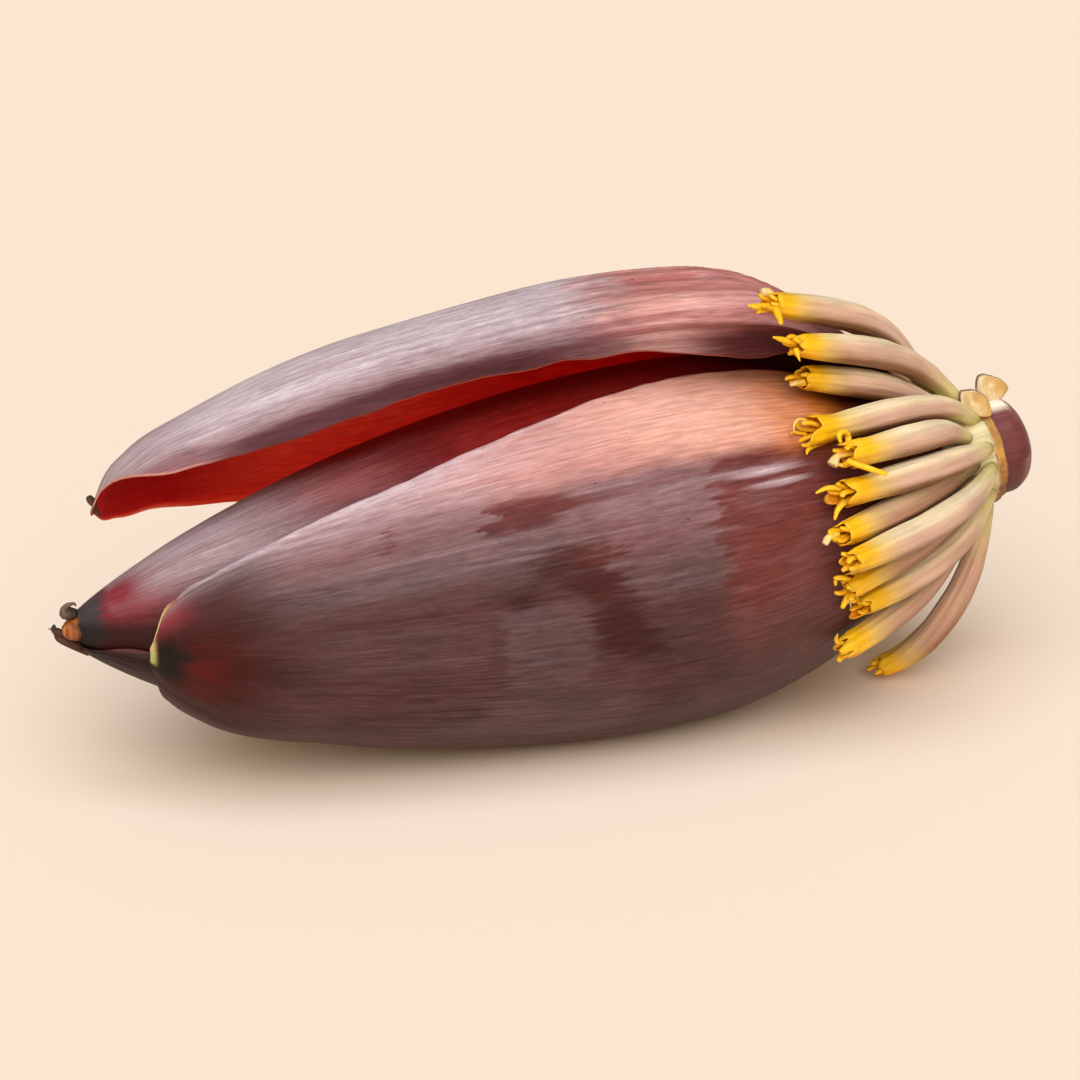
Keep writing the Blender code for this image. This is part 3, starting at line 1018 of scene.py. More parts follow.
def make_bud(rows, columns):
    """Rings of station t (with more near the tip) and radius bud_radius + overlap + ribs,
    closed by a point at each end."""
    t = np.linspace(0, 1, rows)[:, None]
    station = BUD_CUT_STATION * (0.004 + 0.996 * t**1.5)
    angle = np.linspace(-90, 270, columns, endpoint=False)[None, :]
    station, angle = np.broadcast_arrays(station, angle)
    ribs = 0.10 * lattice(station / 60, angle / 3.0, 62, 120) * ease(station, 20, 60)
    radius = bud_radius(station) + bud_overlap(station, angle) + ribs
    points = around(station, radius, angle)
    points[..., 2] = np.maximum(points[..., 2], BUD_FLOOR * MM)
    ends = np.stack([around(0.0, 0.0, 0.0), around(BUD_CUT_STATION, 0.0, 0.0)])
    points, faces = closed_tube(points, ends)
    tint, wax, veil = paint_bud(station, angle)
    fields = {
        "skin": np.concatenate([flat(skin_field(station, angle)), np.zeros((2, 3))]),
        "tint": np.concatenate([flat(tint), [colour(150, 90, 45)] * 2]),
        "wax": np.concatenate([flat(wax), [0.0, 0.0]]),
        "veil": np.concatenate([flat(veil), [0.0, 0.0]]),
    }
    make_piece("bud_body", points, faces, bud_finish, ["inner_bud"], fields)


make_bud(rows=220, columns=180)

# %% [markdown]
# ## The under bract
#
# One more bract shows below the tip of the bud, as a thin line where its margin lies on the
# skin. It hugs the bud from underneath, so its radius is the bud's plus a cover, measured
# square to the slope.

# %% Under bract
UNDER_COVER = 1.3
UNDER_THINNING = 0.06
UNDER_MARGIN_WALL = 0.3
UNDER = {
    "half": ((4.0, 40.0), (8.0, 72.0), (22.0, 94.0), (60.0, 96.0), (218.0, 96.0)),
    "middle": ((4.0, -100.0), (22.0, -108.0), (218.0, -110.0)),
    "thickness": 0.6,
    "floor": 1.5,
    "seed": 81,
}


def under_point(station, angle, lift):
    """Position at bud_radius + (cover + lift) sqrt(1 + slope^2)."""
    slope = np.clip(bud_radius(station + 0.5) - bud_radius(station - 0.5), -2.0, 2.0)
    radius = bud_radius(station) + (UNDER_COVER + lift) * np.hypot(1.0, slope)
    points = around(station, radius, angle)
    points[..., 2] = np.maximum(points[..., 2], UNDER["floor"] * MM)
    return points


def make_under_bract(rows, columns):
    """A shell like the other bracts, but lying on the bud all over, with sunken margins."""
    station, angle, w = bract_grid(UNDER, rows, columns)
    edge = ease(1 - np.abs(w), 0, UNDER_THINNING)
    wall = UNDER["thickness"] * (UNDER_MARGIN_WALL + (1 - UNDER_MARGIN_WALL) * edge)
    lift = 0.12 * layered(station / 40, angle / 15, 82) - 0.35 * (1 - edge)
    outer = under_point(station, angle, lift)
    inner = under_point(station, angle, lift - wall)[COARSE]
    mottle = layered(station / 10, angle / 9, 83)
    # the skin is painted very dark, partly as the shade under the bud
    tint = painted_over(
        blend(0.5 + 0.5 * mottle, colour(38, 17, 14), colour(48, 22, 18)),
        # a rosy margin, and a dried tip
        ((1 - edge) * 0.5, colour(104, 54, 48)),
        (1 - ease(station, 6, 12), colour(34, 22, 17)),
    )
    wax = 0.36 + 0.2 * mottle
    inside = np.broadcast_to(colour(84, 26, 24), tint.shape)
    bare = INSIDE_WAX + 0.5 + 0 * station
    fields = shell_fields(station, angle, (tint, wax, 0.05 + 0 * wax), (inside, bare, 0 * wax))
    points = np.concatenate([flat(outer), flat(inner)])
    faces = shell_faces(rows, columns)
    make_piece("under_bract_leaf", points, faces, under_finish, ["under_bract"], fields)


make_under_bract(rows=151, columns=121)

# %% [markdown]
# ## The lifted bract
#
# The outermost bract has opened and arches over the bud like a boat turned upside down.
# The tables are like the front bract's, and the shift moves it up and away from the axis.
# Near the stem its back has strong lengthwise ridges and one fold.

# %% Lifted bract: shape
LIFTED = {
    "radius": (
        (10.5, 5.5),
        (14.0, 11.5),
        (19.5, 15.5),
        (30.0, 20.0),
        (50.0, 28.0),
        (80.0, 37.0),
        (130.0, 44.3),
        (165.0, 45.8),
        (180.0, 44.4),
        (195.0, 38.6),
        (207.0, 29.6),
        (216.0, 21.2),
        (223.0, 15.2),
    ),
    "shift": (
        (10.5, 22.0),
        (30.0, 24.8),
        (60.0, 24.4),
        (85.0, 22.6),
        (150.0, 19.2),
        (180.0, 14.5),
        (205.0, 6.5),
        (223.0, 0.0),
    ),
    "shift_angle": 118.0,
    "half": (
        (10.5, 24.0),
        (13.5, 54.0),
        (19.0, 70.0),
        (28.0, 77.0),
        (45.0, 77.0),
        (80.0, 72.0),
        (118.0, 70.0),
        (150.0, 73.0),
        (170.0, 76.0),
        (185.0, 77.0),
        (197.0, 73.0),
        (207.0, 67.0),
        (223.0, 64.0),
    ),
    "middle": (
        (10.5, 140.0),
        (19.0, 128.0),
        (28.0, 122.0),
        (80.0, 124.0),
        (118.0, 125.0),
        (160.0, 121.5),
        (185.0, 128.0),
        (205.0, 133.0),
        (223.0, 136.0),
    ),
    "thickness": 1.1,
    "floor": 0.0,
    "seed": 91,
}


def lifted_ridges(station, angle):
    """Ridges that grow towards the stem, and one fold with a valley below it."""
    waves = 0.25 * layered(station / 50, angle / 20, 92)
    grown = ease(station, 95, 150) * (1 - ease(station, 196, 215))
    drift = angle - 0.02 * (station - 150)
    ridges = 0.75 * lattice(station / 90, drift / 3.4, 93) * grown
    fine = 0.22 * lattice(station / 60, drift / 1.5, 94) * grown
    folded = ease(station, 146, 176) * (1 - ease(station, 205, 220))
    fold = 1.3 * np.exp(-(((drift - 67.5) / 2.2) ** 2))
    valley = 1.6 * np.exp(-(((drift - 61.5) / 3.0) ** 2))
    return waves + ridges + fine + (fold - valley) * folded


print("lifted bract stands off by up to", max(entry[1] for entry in LIFTED["shift"]), "mm")

# %% [markdown]
# Its back is the palest part of the blossom, thick with wax towards the tip and pink near
# the stem, where the wax has worn away. Along the near margin it curves under, and the
# shade there is painted dark. Its inside has no wax and is a clear red, painted brighter
# where light comes in through the gap and darker towards the stem as shade; the red light
# it throws on the bud is painted there.

# %% Lifted bract: paint


def lifted_margin(s):
    """Angle at which the painted shade along the near margin begins to fade."""
    return 50.0 + 8.0 * ease(s, 36, 90) - 3.0 * ease(s, 130, 170)


def paint_lifted(s, a, w):
    """Skin colour, where the wax lies, and how thick it is."""
    mottle = layered(s / 12, a / 8, 95)
    streak = 0.5 + 0.7 * lattice(s / 70, a / 2.4, 97) + 0.3 * lattice(s / 50, a / 1.2, 98)
    pink = blend(streak, colour(158, 90, 88), colour(216, 160, 153))
    edge = lifted_margin(s) + 1.5 * mottle
    shady = (1 - ease(a, edge - 2.0, edge + 8.0)) * ease(s + 2 * mottle, 30, 48)
    shady = shady * (1 - 0.45 * ease(s, 104, 128) * (1 - ease(s, 146, 162)))
    shady_tone = blend(ease(s, 60, 110), colour(78, 40, 46), colour(62, 22, 24))
    at_margin = ease(np.abs(w), 0.974, 0.996)
    tint = painted_over(
        blend(0.5 + 0.5 * mottle, colour(98, 56, 62), colour(124, 76, 82)),
        # pink streaks towards the stem, browner below the fold as painted shade, duller over the top
        (ease(s + 8 * mottle - 0.2 * a, 104, 132), pink),
        (ease(s, 140, 170) * (1 - ease(a, 58, 67)), colour(128, 60, 50)),
        (0.6 * ease(s, 134, 150) * ease(a, 66, 80), colour(176, 108, 104)),
        (0.8 * ease(s, 158, 185) * ease(a, 88, 98), colour(148, 78, 80)),
        # painted shade along the near edge, the dry tip, and the thin rosy margin at the tip
        (0.95 * shady, shady_tone),
        (1 - ease(s, 11, 22), colour(134, 108, 100)),
        (at_margin * (1 - ease(s, 26, 40)), colour(206, 138, 130)),
    )
    # wax and veil thin out into the painted shade along the near edge
    wax = 0.88 + 0.14 * mottle - 0.85 * shady
    wax = wax - 0.45 * blot(s, a, (30, 57), (9, 8)) - 0.3 * (1 - ease(s, 12, 24))
    wax = wax - 0.55 * ease(s + 10 * mottle - 0.3 * a, 94, 122)
    wax = np.clip(wax, -0.2, 1.4) - 1.0 * at_margin
    veil = 0.11 + 0.71 * ease(a + 3 * mottle, edge, edge + 22)
    veil = veil * (1 - 0.60 * ease(s - 0.2 * a, 104, 134)) * (1 - 0.45 * (1 - ease(s, 14, 46)))
    return tint, np.maximum(wax, -0.3), veil


def paint_lifted_inside(s, a, w):
    """Clear red, painted brightest where the light comes through the gap. Towards the stem it is
    painted dark as shade, and the wax number rises past the point where the finish lets
    light through."""
    lit = ease(s, 30, 76)
    ribs = 0.25 + 0.25 * layered(s / 30, a / 4, 96)
    at_margin = ease(np.abs(w), 0.965, 0.995)
    tint = painted_over(
        blend(lit, colour(122, 34, 34), colour(214, 112, 94)),
        (ribs, blend(lit, colour(108, 28, 28), colour(194, 84, 72))),
        (ease(s, 92, 140), colour(166, 62, 52)),
        # painted shade: dark red towards the stem
        (ease(s, 150, 176), colour(98, 28, 22)),
        (at_margin * (1 - ease(s, 30, 50)), colour(206, 130, 120)),
    )
    return tint, INSIDE_WAX + 0.4 * ease(s, 168, 188), 0 * s


make_bract(
    "lifted_bract_leaf",
    "lifted_bract",
    LIFTED,
    BRACT_ROWS,
    BRACT_COLUMNS,
    lifted_ridges,
    paint_lifted,
    paint_lifted_inside,
    lifted_finish,
)

# %% [markdown]
# ## Tubes and threads
#
# Everything else at the two ends is a tube of some kind: the flowers, their stamens, the
# dried twigs at the tips. A tube is a circle carried along a path. At each place of the
# path it needs two directions square to it, and the one called `out` starts from a hint,
# such as the direction away from the blossom's axis, so that tubes don't twist.

# %% Paths


def unit(vectors):
    """Vectors of length 1."""
    return vectors / np.linalg.norm(vectors, axis=-1, keepdims=True)


class Path:
    """A line through points in space that is asked for places by the distance along it."""

    def __init__(self, points, hint):
        self.points = np.asarray(points, float)
        steps = np.linalg.norm(np.diff(self.points, axis=0), axis=1)
        self.reach = np.concatenate([[0.0], np.cumsum(steps)])
        self.tangent = unit(np.gradient(self.points, axis=0))
        hint = np.broadcast_to(hint, self.points.shape)
        self.out = unit(hint - (hint * self.tangent).sum(-1, keepdims=True) * self.tangent)
        self.length = self.reach[-1]

    def read(self, distance, columns_of):
        """Values of one row per path point, read at a distance along the path."""
        return np.stack([np.interp(distance, self.reach, c) for c in columns_of.T], axis=-1)

    def place(self, distance, radius, turn):
        """Centre at that distance + radius (out cos turn + side sin turn). Past the end the
        path goes straight on."""
        tangent = unit(self.read(distance, self.tangent))
        out = unit(self.read(distance, self.out))
        side = np.cross(out, tangent)
        past = np.clip(distance - self.length, 0, None)[..., None]
        centre = self.read(distance, self.points) + past * self.tangent[-1]
        radius = np.asarray(radius)[..., None]
        return centre + radius * (out * np.cos(turn)[..., None] + side * np.sin(turn)[..., None])


straight = Path([(0, 0, 0), (0, 0, 1), (0, 0, 2)], (1, 0, 0))
print("a straight path of length", straight.length, "goes along", straight.tangent[0])

# %% [markdown]
# A thread is such a tube through a few points that are listed, with a radius at each
# of them. It may be squeezed flat into a strap. Several threads and tubes are joined into
# one piece by counting on in the numbers of their points.

# %% Threads
CENTIMETRES_PER_METRE = 100


def thread(points, sizes, tone, tip_tone, hint=(0, 0, 1), flatness=1.0, rows=22, columns=10):
    """A thin tube through a few points, with a radius in metres at each and colours that go
    from tone to tip_tone. Flatness below 1 makes it a strap."""
    u = np.linspace(0, 1, len(points))
    fine = np.linspace(0, 1, rows)
    curve = np.stack([smooth_table(fine, tuple(zip(u, c))) for c in np.asarray(points).T], axis=-1)
    path = Path(curve, hint)
    size = smooth_table(fine, tuple(zip(u, sizes)))
    turn = np.linspace(0, 2 * np.pi, columns, endpoint=False)[None, :]
    size = size[:, None] / np.sqrt(np.cos(turn) ** 2 / flatness**2 + np.sin(turn) ** 2)
    distance = np.broadcast_to(path.reach[:, None], size.shape)
    grid = path.place(distance, size, np.broadcast_to(turn, size.shape))
    found, faces = closed_tube(grid, curve[[0, -1]])
    return {
        "points": found,
        "faces": faces,
        "skin": found * CENTIMETRES_PER_METRE,
        "tint": blend(np.concatenate([np.repeat(fine, columns), [0.0, 1.0]]), tone, tip_tone),
        "wax": 0 * found[:, 0] - 1,
    }


def joined(sheets):
    """One set of points, faces and fields out of several."""
    faces = []
    first = 0
    for sheet in sheets:
        faces += [group + first for group in sheet["faces"]]
        first += len(sheet["points"])
    points = np.concatenate([sheet["points"] for sheet in sheets])
    fields = {}
    for key in ("skin", "tint", "wax"):
        fields[key] = np.concatenate([sheet[key] for sheet in sheets])
    return points, faces, fields


sample = thread([(0, 0, 0), (1, 0, 0)], (0.1, 0.1), colour(0, 0, 0), colour(255, 255, 255))
print("a thread has", len(sample["points"]), "points")

# %% [markdown]
# The stem and the flowers have their own fields: on a tube the skin's place is kept as a
# point in space, so the pattern has no seam. The streaks follow the tube because the
# pattern is squeezed across it and drawn out along it.

# %% Fleshy finish


def fleshy_finish(name, streak_low, streak_high, groove_depth, roughness, glow):
    """Painted flesh with lengthwise streaks, faint clouds and a little light let through."""
    material, tree, shader = new_finish(name, Subsurface_Weight=glow, Subsurface_Scale=0.0015)
    shader.inputs["Subsurface Radius"].default_value = (1.0, 0.55, 0.25)
    shader.inputs["Specular IOR Level"].default_value = 0.4
    streaks = skin_noise(tree, (8.0, 8.0, 0.45), 4.0, 0.6)
    clouds = skin_noise(tree, (1.6, 1.6, 0.9), 3.0)
    grain = skin_noise(tree, (40.0, 40.0, 22.0), 2.0)
    shade = soft_step(tree, streaks, 0.32, 0.66, streak_low, streak_high)
    tone = mix(tree, 1.0, painted(tree, "tint"), shade, "MULTIPLY")
    cloud_shade = soft_step(tree, clouds, 0.25, 0.75, 0.9, 1.05)
    tone = mix(tree, 1.0, tone, cloud_shade, "MULTIPLY")
    gloss = soft_step(tree, clouds, 0.3, 0.7, roughness - 0.08, roughness + 0.1)
    relief = bump(tree, grain, groove_depth * 0.15, bump(tree, streaks, groove_depth))
    wire(tree, shader, Base_Color=tone, Roughness=gloss, Normal=relief)
    return material


# darkest and lightest streak, depth of the grooves in metres, roughness, light let through
stem_finish = fleshy_finish("stem_fibrous", 0.84, 1.08, 0.0005, 0.46, 0.08)
flower_finish = fleshy_finish("flower_flesh", 0.86, 1.06, 0.00035, 0.42, 0.2)
dry_finish = fleshy_finish("dried_edge", 0.5, 1.2, 0.0008, 0.62, 0.0)
scar_finish = fleshy_finish("torn_edge_smooth", 0.84, 1.08, 0.0003, 0.5, 0.1)
print("fleshy finishes ready")

# %% [markdown]
# ## Dried tips
#
# The bud's tip ends in an orange-brown stub with what is left of withered bract tips: a
# dark clump curled back over it, a beak in front and a keel underneath. The lifted bract's
# tip has a small twig too. Each is a thread, and its few points are listed one by one,
# because no formula makes such a knot.

# %% Dried tips
BLACK = colour(38, 22, 12)
DARK_BROWN = colour(70, 40, 24)
GREY_BROWN = colour(140, 118, 100)


def twig(places, sizes, tone, tip_tone):
    """A thread through (station, across, up), all in millimetres."""
    points = np.array([lay_down(*place) for place in np.array(places, float)])
    return thread(points, np.array(sizes) * MM, tone, tip_tone, (0, -1, 0.3))


def make_dried_tips():
    """Twigs at the bud's tip and at the lifted bract's tip, as one piece."""
    curl = [(3.2, -0.6, 3.0), (1.6, -0.8, 3.2), (0.5, -0.8, 3.6), (0.6, -0.6, 4.7)]
    curl += [(1.8, -0.2, 5.5), (3.0, 0.0, 5.5), (3.4, 0.0, 4.9)]
    clump = [(3.2, 0.2, 3.0), (1.6, 0.0, 3.7), (0.5, 0.0, 4.4)]
    stub = [(4.6, -1.2, -1.3), (3.0, -1.6, -0.6), (1.4, -1.3, -0.3), (0.3, -0.8, -0.1)]
    keel = [(6.0, -0.9, -6.6), (3.4, -1.0, -4.6), (1.2, -0.9, -3.2), (-0.6, -0.5, -2.2)]
    keel += [(-1.4, -0.2, -1.0)]
    beak = [(0.6, -0.8, -1.2), (-0.8, -0.6, -0.8), (-1.7, -0.3, 0.1), (-1.6, -0.2, 1.0)]
    splinter = [(-1.3, -0.3, 0.2), (-2.2, -0.4, 0.0), (-3.1, -0.4, 0.2)]
    lifted_stub = [(11.6, 14.2, 23.6), (10.9, 14.4, 24.2), (10.3, 14.5, 24.9), (10.0, 14.5, 25.6)]
    lower = [(12.2, 14.1, 20.9), (11.5, 14.3, 22.2), (11.1, 14.5, 23.6)]
    sheets = [
        twig(curl, [1.0, 1.2, 1.1, 0.8, 0.5, 0.32, 0.15], BLACK, GREY_BROWN),
        twig(clump, [1.2, 1.3, 0.6], BLACK, DARK_BROWN),
        twig(stub, [1.4, 2.2, 2.0, 1.0], colour(118, 64, 30), colour(178, 104, 44)),
        twig(keel, [0.5, 1.0, 1.1, 0.9, 0.4], colour(74, 38, 26), DARK_BROWN),
        twig(beak, [0.9, 1.0, 0.7, 0.2], DARK_BROWN, BLACK),
        twig(splinter, [0.4, 0.25, 0.08], BLACK, GREY_BROWN),
        twig(lifted_stub, [0.6, 1.0, 0.95, 0.7], colour(96, 54, 30), colour(60, 38, 20)),
        twig(lower, [0.4, 0.7, 0.6], colour(104, 62, 34), colour(84, 46, 24)),
    ]
    points, faces, fields = joined(sheets)
    make_piece("dried_tips", points, faces, dry_finish, [], fields)


make_dried_tips()

# %% [markdown]
# ## The stem
#
# Where the flowers are rooted, the stem swells into a cream crown with a ragged, fibrous
# skin. Behind it comes the short purple stub, cut across. Crown and stub are one surface
# turned round the axis, with lumps where the flowers were rooted and fine lengthwise
# fibres.

# %% Stem: shape
# t along the outline from end to end, station, radius
STEM_OUTLINE = (
    (0.00, 221.6, 0.0),
    (0.12, 221.8, 9.0),
    (0.24, 224.0, 12.4),
    (0.36, 227.5, 14.6),
    (0.48, 231.0, 15.2),
    (0.58, 234.2, 14.0),
    (0.64, 236.0, 12.4),
    (0.72, 238.2, 12.5),
    (0.80, 241.0, 12.6),
    (0.87, 243.8, 11.9),
    (0.92, 245.8, 10.3),
    (0.96, 246.6, 8.0),
    (1.00, 246.5, 0.0),
)


def turned_places(station, radius, angle):
    """Places for a tube's pattern in centimetres: (r cos a, r sin a, station)."""
    turn = np.radians(angle)
    return np.stack([radius * np.cos(turn), radius * np.sin(turn), station], axis=-1) * 0.1


print("stem is cut", STEM_OUTLINE[-1][1], "mm from the bud's tip")

# %% [markdown]
# The crown is painted cream with brown fibres, and brown underneath as painted shade. The
# stub is purple, painted darker underneath as shade and rosier on top partly as light, with a
# pale painted highlight band on top, and its cut face shows rings of cream and tan.

# %% Stem: paint


def paint_stem(t, station, radius, angle, fibre):
    """Cream up to t = 0.61, purple from 0.65, and rings on the cut face from 0.96."""
    patch = 0.5 + 0.5 * layered(station / 5, angle / 15, 114)
    up = np.sin(np.radians(angle))
    cream = painted_over(
        blend(patch, colour(210, 198, 148), colour(224, 212, 180)),
        (0.35 * ease(fibre, 0.2, 0.8), colour(178, 152, 92)),
        # painted shade: browner underneath
        (0.7 * ease(-up, -0.2, 0.7), colour(158, 124, 66)),
    )
    rosy = ease(angle, 20, 60) * ease(station, 241.5, 244.5)
    pale = ease(angle, 58, 74) * (1 - ease(angle, 110, 150)) * ease(station, 237.5, 239.0)
    purple = painted_over(
        blend(patch, colour(86, 34, 30), colour(112, 52, 54)),
        # painted shade below; rosier on top, partly painted light; a painted highlight band; greyish
        # pink at the cut
        (0.8 * ease(-up, 0.0, 0.9), colour(68, 28, 18)),
        (0.6 * rosy, colour(150, 96, 88)),
        (pale * (1 - ease(station, 243.0, 245.0)), colour(252, 232, 214)),
        (0.5 * ease(station, 244.5, 245.8), colour(150, 112, 112)),
    )
    rings = 0.5 + 0.5 * lattice(radius / 1.2, angle / 20, 115, 18)
    cut_face = blend(rings, colour(196, 160, 112), colour(226, 204, 160))
    return painted_over(cream, (ease(t, 0.61, 0.65), purple), (ease(t, 0.935, 0.96), cut_face))


print("stem colours ready")

# %% [markdown]
# The outline is turned round as a grid of rings, closed by a point at each end.

# %% Stem: build


def make_stem(rows, columns):
    """Outline (station, radius) along t, turned round. Lumps of 0.8 mm and fibres of 0.22 mm
    roughen the crown, and the stub is softly uneven by 0.15 mm."""
    t = np.linspace(0.001, 0.999, rows)[:, None]
    angle = np.linspace(0, 360, columns, endpoint=False)[None, :]
    t, angle = np.broadcast_arrays(t, angle)
    place_on_outline, stations, radii = zip(*STEM_OUTLINE)
    station = smooth_table(t, tuple(zip(place_on_outline, stations)))
    radius = smooth_table(t, tuple(zip(place_on_outline, radii)))
    crown = ease(t, 0.2, 0.3) * (1 - ease(t, 0.56, 0.62))
    fibre = lattice(station / 9, angle / 3, 112, 120)
    lumps = 0.8 * lattice(station / 6, angle / 15, 111, 24)
    soft = 0.15 * lattice(station / 4, angle / 12, 113, 30)
    radius = radius + crown * (lumps + 0.22 * fibre) + (1 - crown) * soft * ease(radius, 4, 9)
    grid = around(station, radius, angle)
    ends = [around(stations[end], 0.0, 0.0) for end in (0, -1)]
    points, faces = closed_tube(grid, np.stack(ends))
    tint = paint_stem(t, station, radius, angle, fibre)
    skin = turned_places(station, radius, angle)
    end_tints = [colour(230, 210, 150), colour(214, 186, 140)]
    end_places = [[0, 0, 22.2], [0, 0, 24.7]]
    fields = {
        "skin": np.concatenate([flat(skin), end_places]),
        "tint": np.concatenate([flat(tint), end_tints]),
    }
    make_piece("stem_and_crown", points, faces, stem_finish, ["peduncle"], fields)


make_stem(rows=90, columns=180)

# %% [markdown]
# ## The torn collar
#
# The torn collar is the golden-brown scar of a bract that was pulled off. At the top, on
# both sides of it, two flakes of the bract's base still stand up. They are flat tabs, cream
# on their faces with a thin grey-brown rim, and each has a torn outline of its own. An
# outline is a table too: the distance from the flake's middle in each direction.

# %% Flake outlines
# (degrees round the flake's middle, mm from it), seen from the near side
FRONT_FLAKE = (
    (-180.0, 3.3),
    (-133.0, 3.5),
    (-90.0, 2.9),
    (-60.0, 4.2),
    (-40.0, 5.4),
    (-15.0, 4.6),
    (25.0, 3.6),
    (75.0, 3.1),
    (130.0, 3.9),
    (160.0, 3.4),
    (180.0, 3.3),
)
BACK_FLAKE = (
    (-180.0, 4.2),
    (-160.0, 4.3),
    (-135.0, 4.0),
    (-100.0, 4.4),
    (-70.0, 4.4),
    (-45.0, 4.6),
    (-25.0, 5.2),
    (0.0, 3.5),
    (56.0, 2.1),
    (90.0, 2.3),
    (118.0, 3.3),
    (142.0, 4.0),
    (167.0, 4.0),
    (180.0, 4.2),
)
print("the front flake is drawn with", len(FRONT_FLAKE), "places, the back one with", len(BACK_FLAKE))

# %% [markdown]
# A flake is a ball pressed flat: rings run from one face to the other, are pushed out to
# the outline, and sink a little in the middle of each face. The two flakes are one piece.

# %% Flakes


def flake(centre, outline, half_thick, lean, seed):
    """A flat flake: places at outline(turn) cos(rise)**0.4, half_thick sin(rise)**0.7 to each
    side of its middle plane, with hollow faces. Each mm up moves it across by lean mm."""
    rise = np.radians(np.linspace(-88, 88, 26))[:, None]
    degrees = np.linspace(-180, 180, 72, endpoint=False)[None, :]
    rise, degrees = np.broadcast_arrays(rise, degrees)
    turn = np.radians(degrees)
    ring = np.cos(rise) ** 0.4
    reach = smooth_table(degrees, outline) * (1 + 0.04 * lattice(degrees / 15, rise * 0, seed, 24))
    along = ring * reach * np.cos(turn)
    up = ring * reach * np.sin(turn)
    face = np.sign(np.sin(rise)) * np.abs(np.sin(rise)) ** 0.7
    hollow = 1 - 0.5 * np.exp(-(ring**2) / 0.5)
    across = centre[1] - half_thick * face * hollow + lean * up
    grid = lay_down(centre[0] + along, across, centre[2] + up)
    tips = [lay_down(centre[0], centre[1] - side * half_thick * 0.5, centre[2]) for side in (-1, 1)]
    points, faces = closed_tube(grid, np.array(tips))
    patch = 0.5 + 0.4 * layered(degrees / 45, rise * 3, seed + 1) + 0.12 * along
    rim = ease(ring, 0.90, 0.98)
    tint = painted_over(
        blend(patch, colour(214, 192, 154), colour(196, 154, 88)),
        # a grey-brown rim round the top, a browner one below
        (rim * ease(up, -0.6, 0.4), colour(118, 98, 80)),
        (0.7 * rim * ease(-up, 1.2, 2.2), colour(120, 88, 50)),
    )
    return {
        "points": points,
        "faces": [group[:, ::-1] for group in faces],
        "skin": points * CENTIMETRES_PER_METRE,
        "tint": np.concatenate([flat(tint), [colour(232, 206, 152)] * 2]),
        "wax": 0 * points[:, 0],
    }


def make_flakes():
    """The two flakes as one piece: the front one on the crown, the back one on the stub."""
    front_flake = flake((232.2, -7.2, 16.2), FRONT_FLAKE, 0.8, 0.5, 131)
    back_flake = flake((242.2, 0.6, 16.2), BACK_FLAKE, 0.9, 0.3, 141)
    points, faces, fields = joined([front_flake, back_flake])
    make_piece("collar_flakes", points, faces, scar_finish, [], fields)


print("flake builder ready")

# %% [markdown]
# The scar itself is a thin ragged strip that runs most of the way round the stem, between
# the crown and the stub. It is a shell like a bract, and noise tears both its edges.

# %% Torn collar
COLLAR_STATION = 234.3
COLLAR_WIDTH = 2.6
COLLAR_RADIUS = 14.1
COLLAR_TAPER = 0.3
COLLAR_WALL = 0.7


def make_collar(rows, columns):
    """Strip of station 234.3 + 2.6 v and radius 14.1 - 0.3 v, with v from 0 to 1, round 320
    degrees. Its edges are ragged by a few tenths of a millimetre."""
    v = np.linspace(0, 1, rows)[:, None]
    angle = np.linspace(-80, 240, columns)[None, :]
    v, angle = np.broadcast_arrays(v, angle)
    ragged = 0.5 * lattice(angle / 9, 0.0, 121) + 0.25 * lattice(angle / 3, 0.0, 122)
    front = 0.5 * lattice(angle / 6, 3.0, 123) + 0.25 * lattice(angle / 2, 3.0, 124)
    station = COLLAR_STATION + front * (1 - v) + v * (COLLAR_WIDTH + 0.5 * ragged)
    radius = COLLAR_RADIUS - COLLAR_TAPER * v + 0.15 * layered(station / 3, angle / 9, 125)
    outer = around(station, radius, angle)
    inner = around(station, radius - COLLAR_WALL, angle)[COARSE]
    patch = 0.5 + 0.5 * layered(station / 3, angle / 12, 126)
    up = np.sin(np.radians(angle))
    tint = painted_over(
        blend(patch, colour(156, 108, 50), colour(188, 138, 70)),
        # brown underneath as painted shade, a pale edge at the crown and a dark one at the stub
        (0.8 * ease(-up, -0.3, 0.6), colour(106, 60, 24)),
        (0.5 * (1 - ease(v, 0.04, 0.22)), colour(206, 176, 120)),
        (ease(v, 0.82, 0.96) * 0.8, colour(104, 56, 30)),
    )
    skin = turned_places(station, radius, angle)
    points = np.concatenate([flat(outer), flat(inner)])
    fields = {
        "skin": np.concatenate([flat(skin), flat(skin[COARSE])]),
        "tint": np.concatenate([flat(tint), flat(tint[COARSE])]),
    }
    faces = shell_faces(rows, columns)
    name = "torn_collar_ragged"
    make_piece(name, points, faces, scar_finish, ["torn_collar"], fields)


make_collar(rows=16, columns=262)
make_flakes()

# %% [markdown]
# ## The flowers
#
# Fourteen flowers stand in a fan, in two rows. Each leaves the crown outwards, bends over
# and points back towards the tip. Its path is a cubic curve with four corners, worked out
# from six measures: where it starts, where it ends, and how far it bulges on the way.

# %% Flower paths
ROOT_RADIUS = 14.2
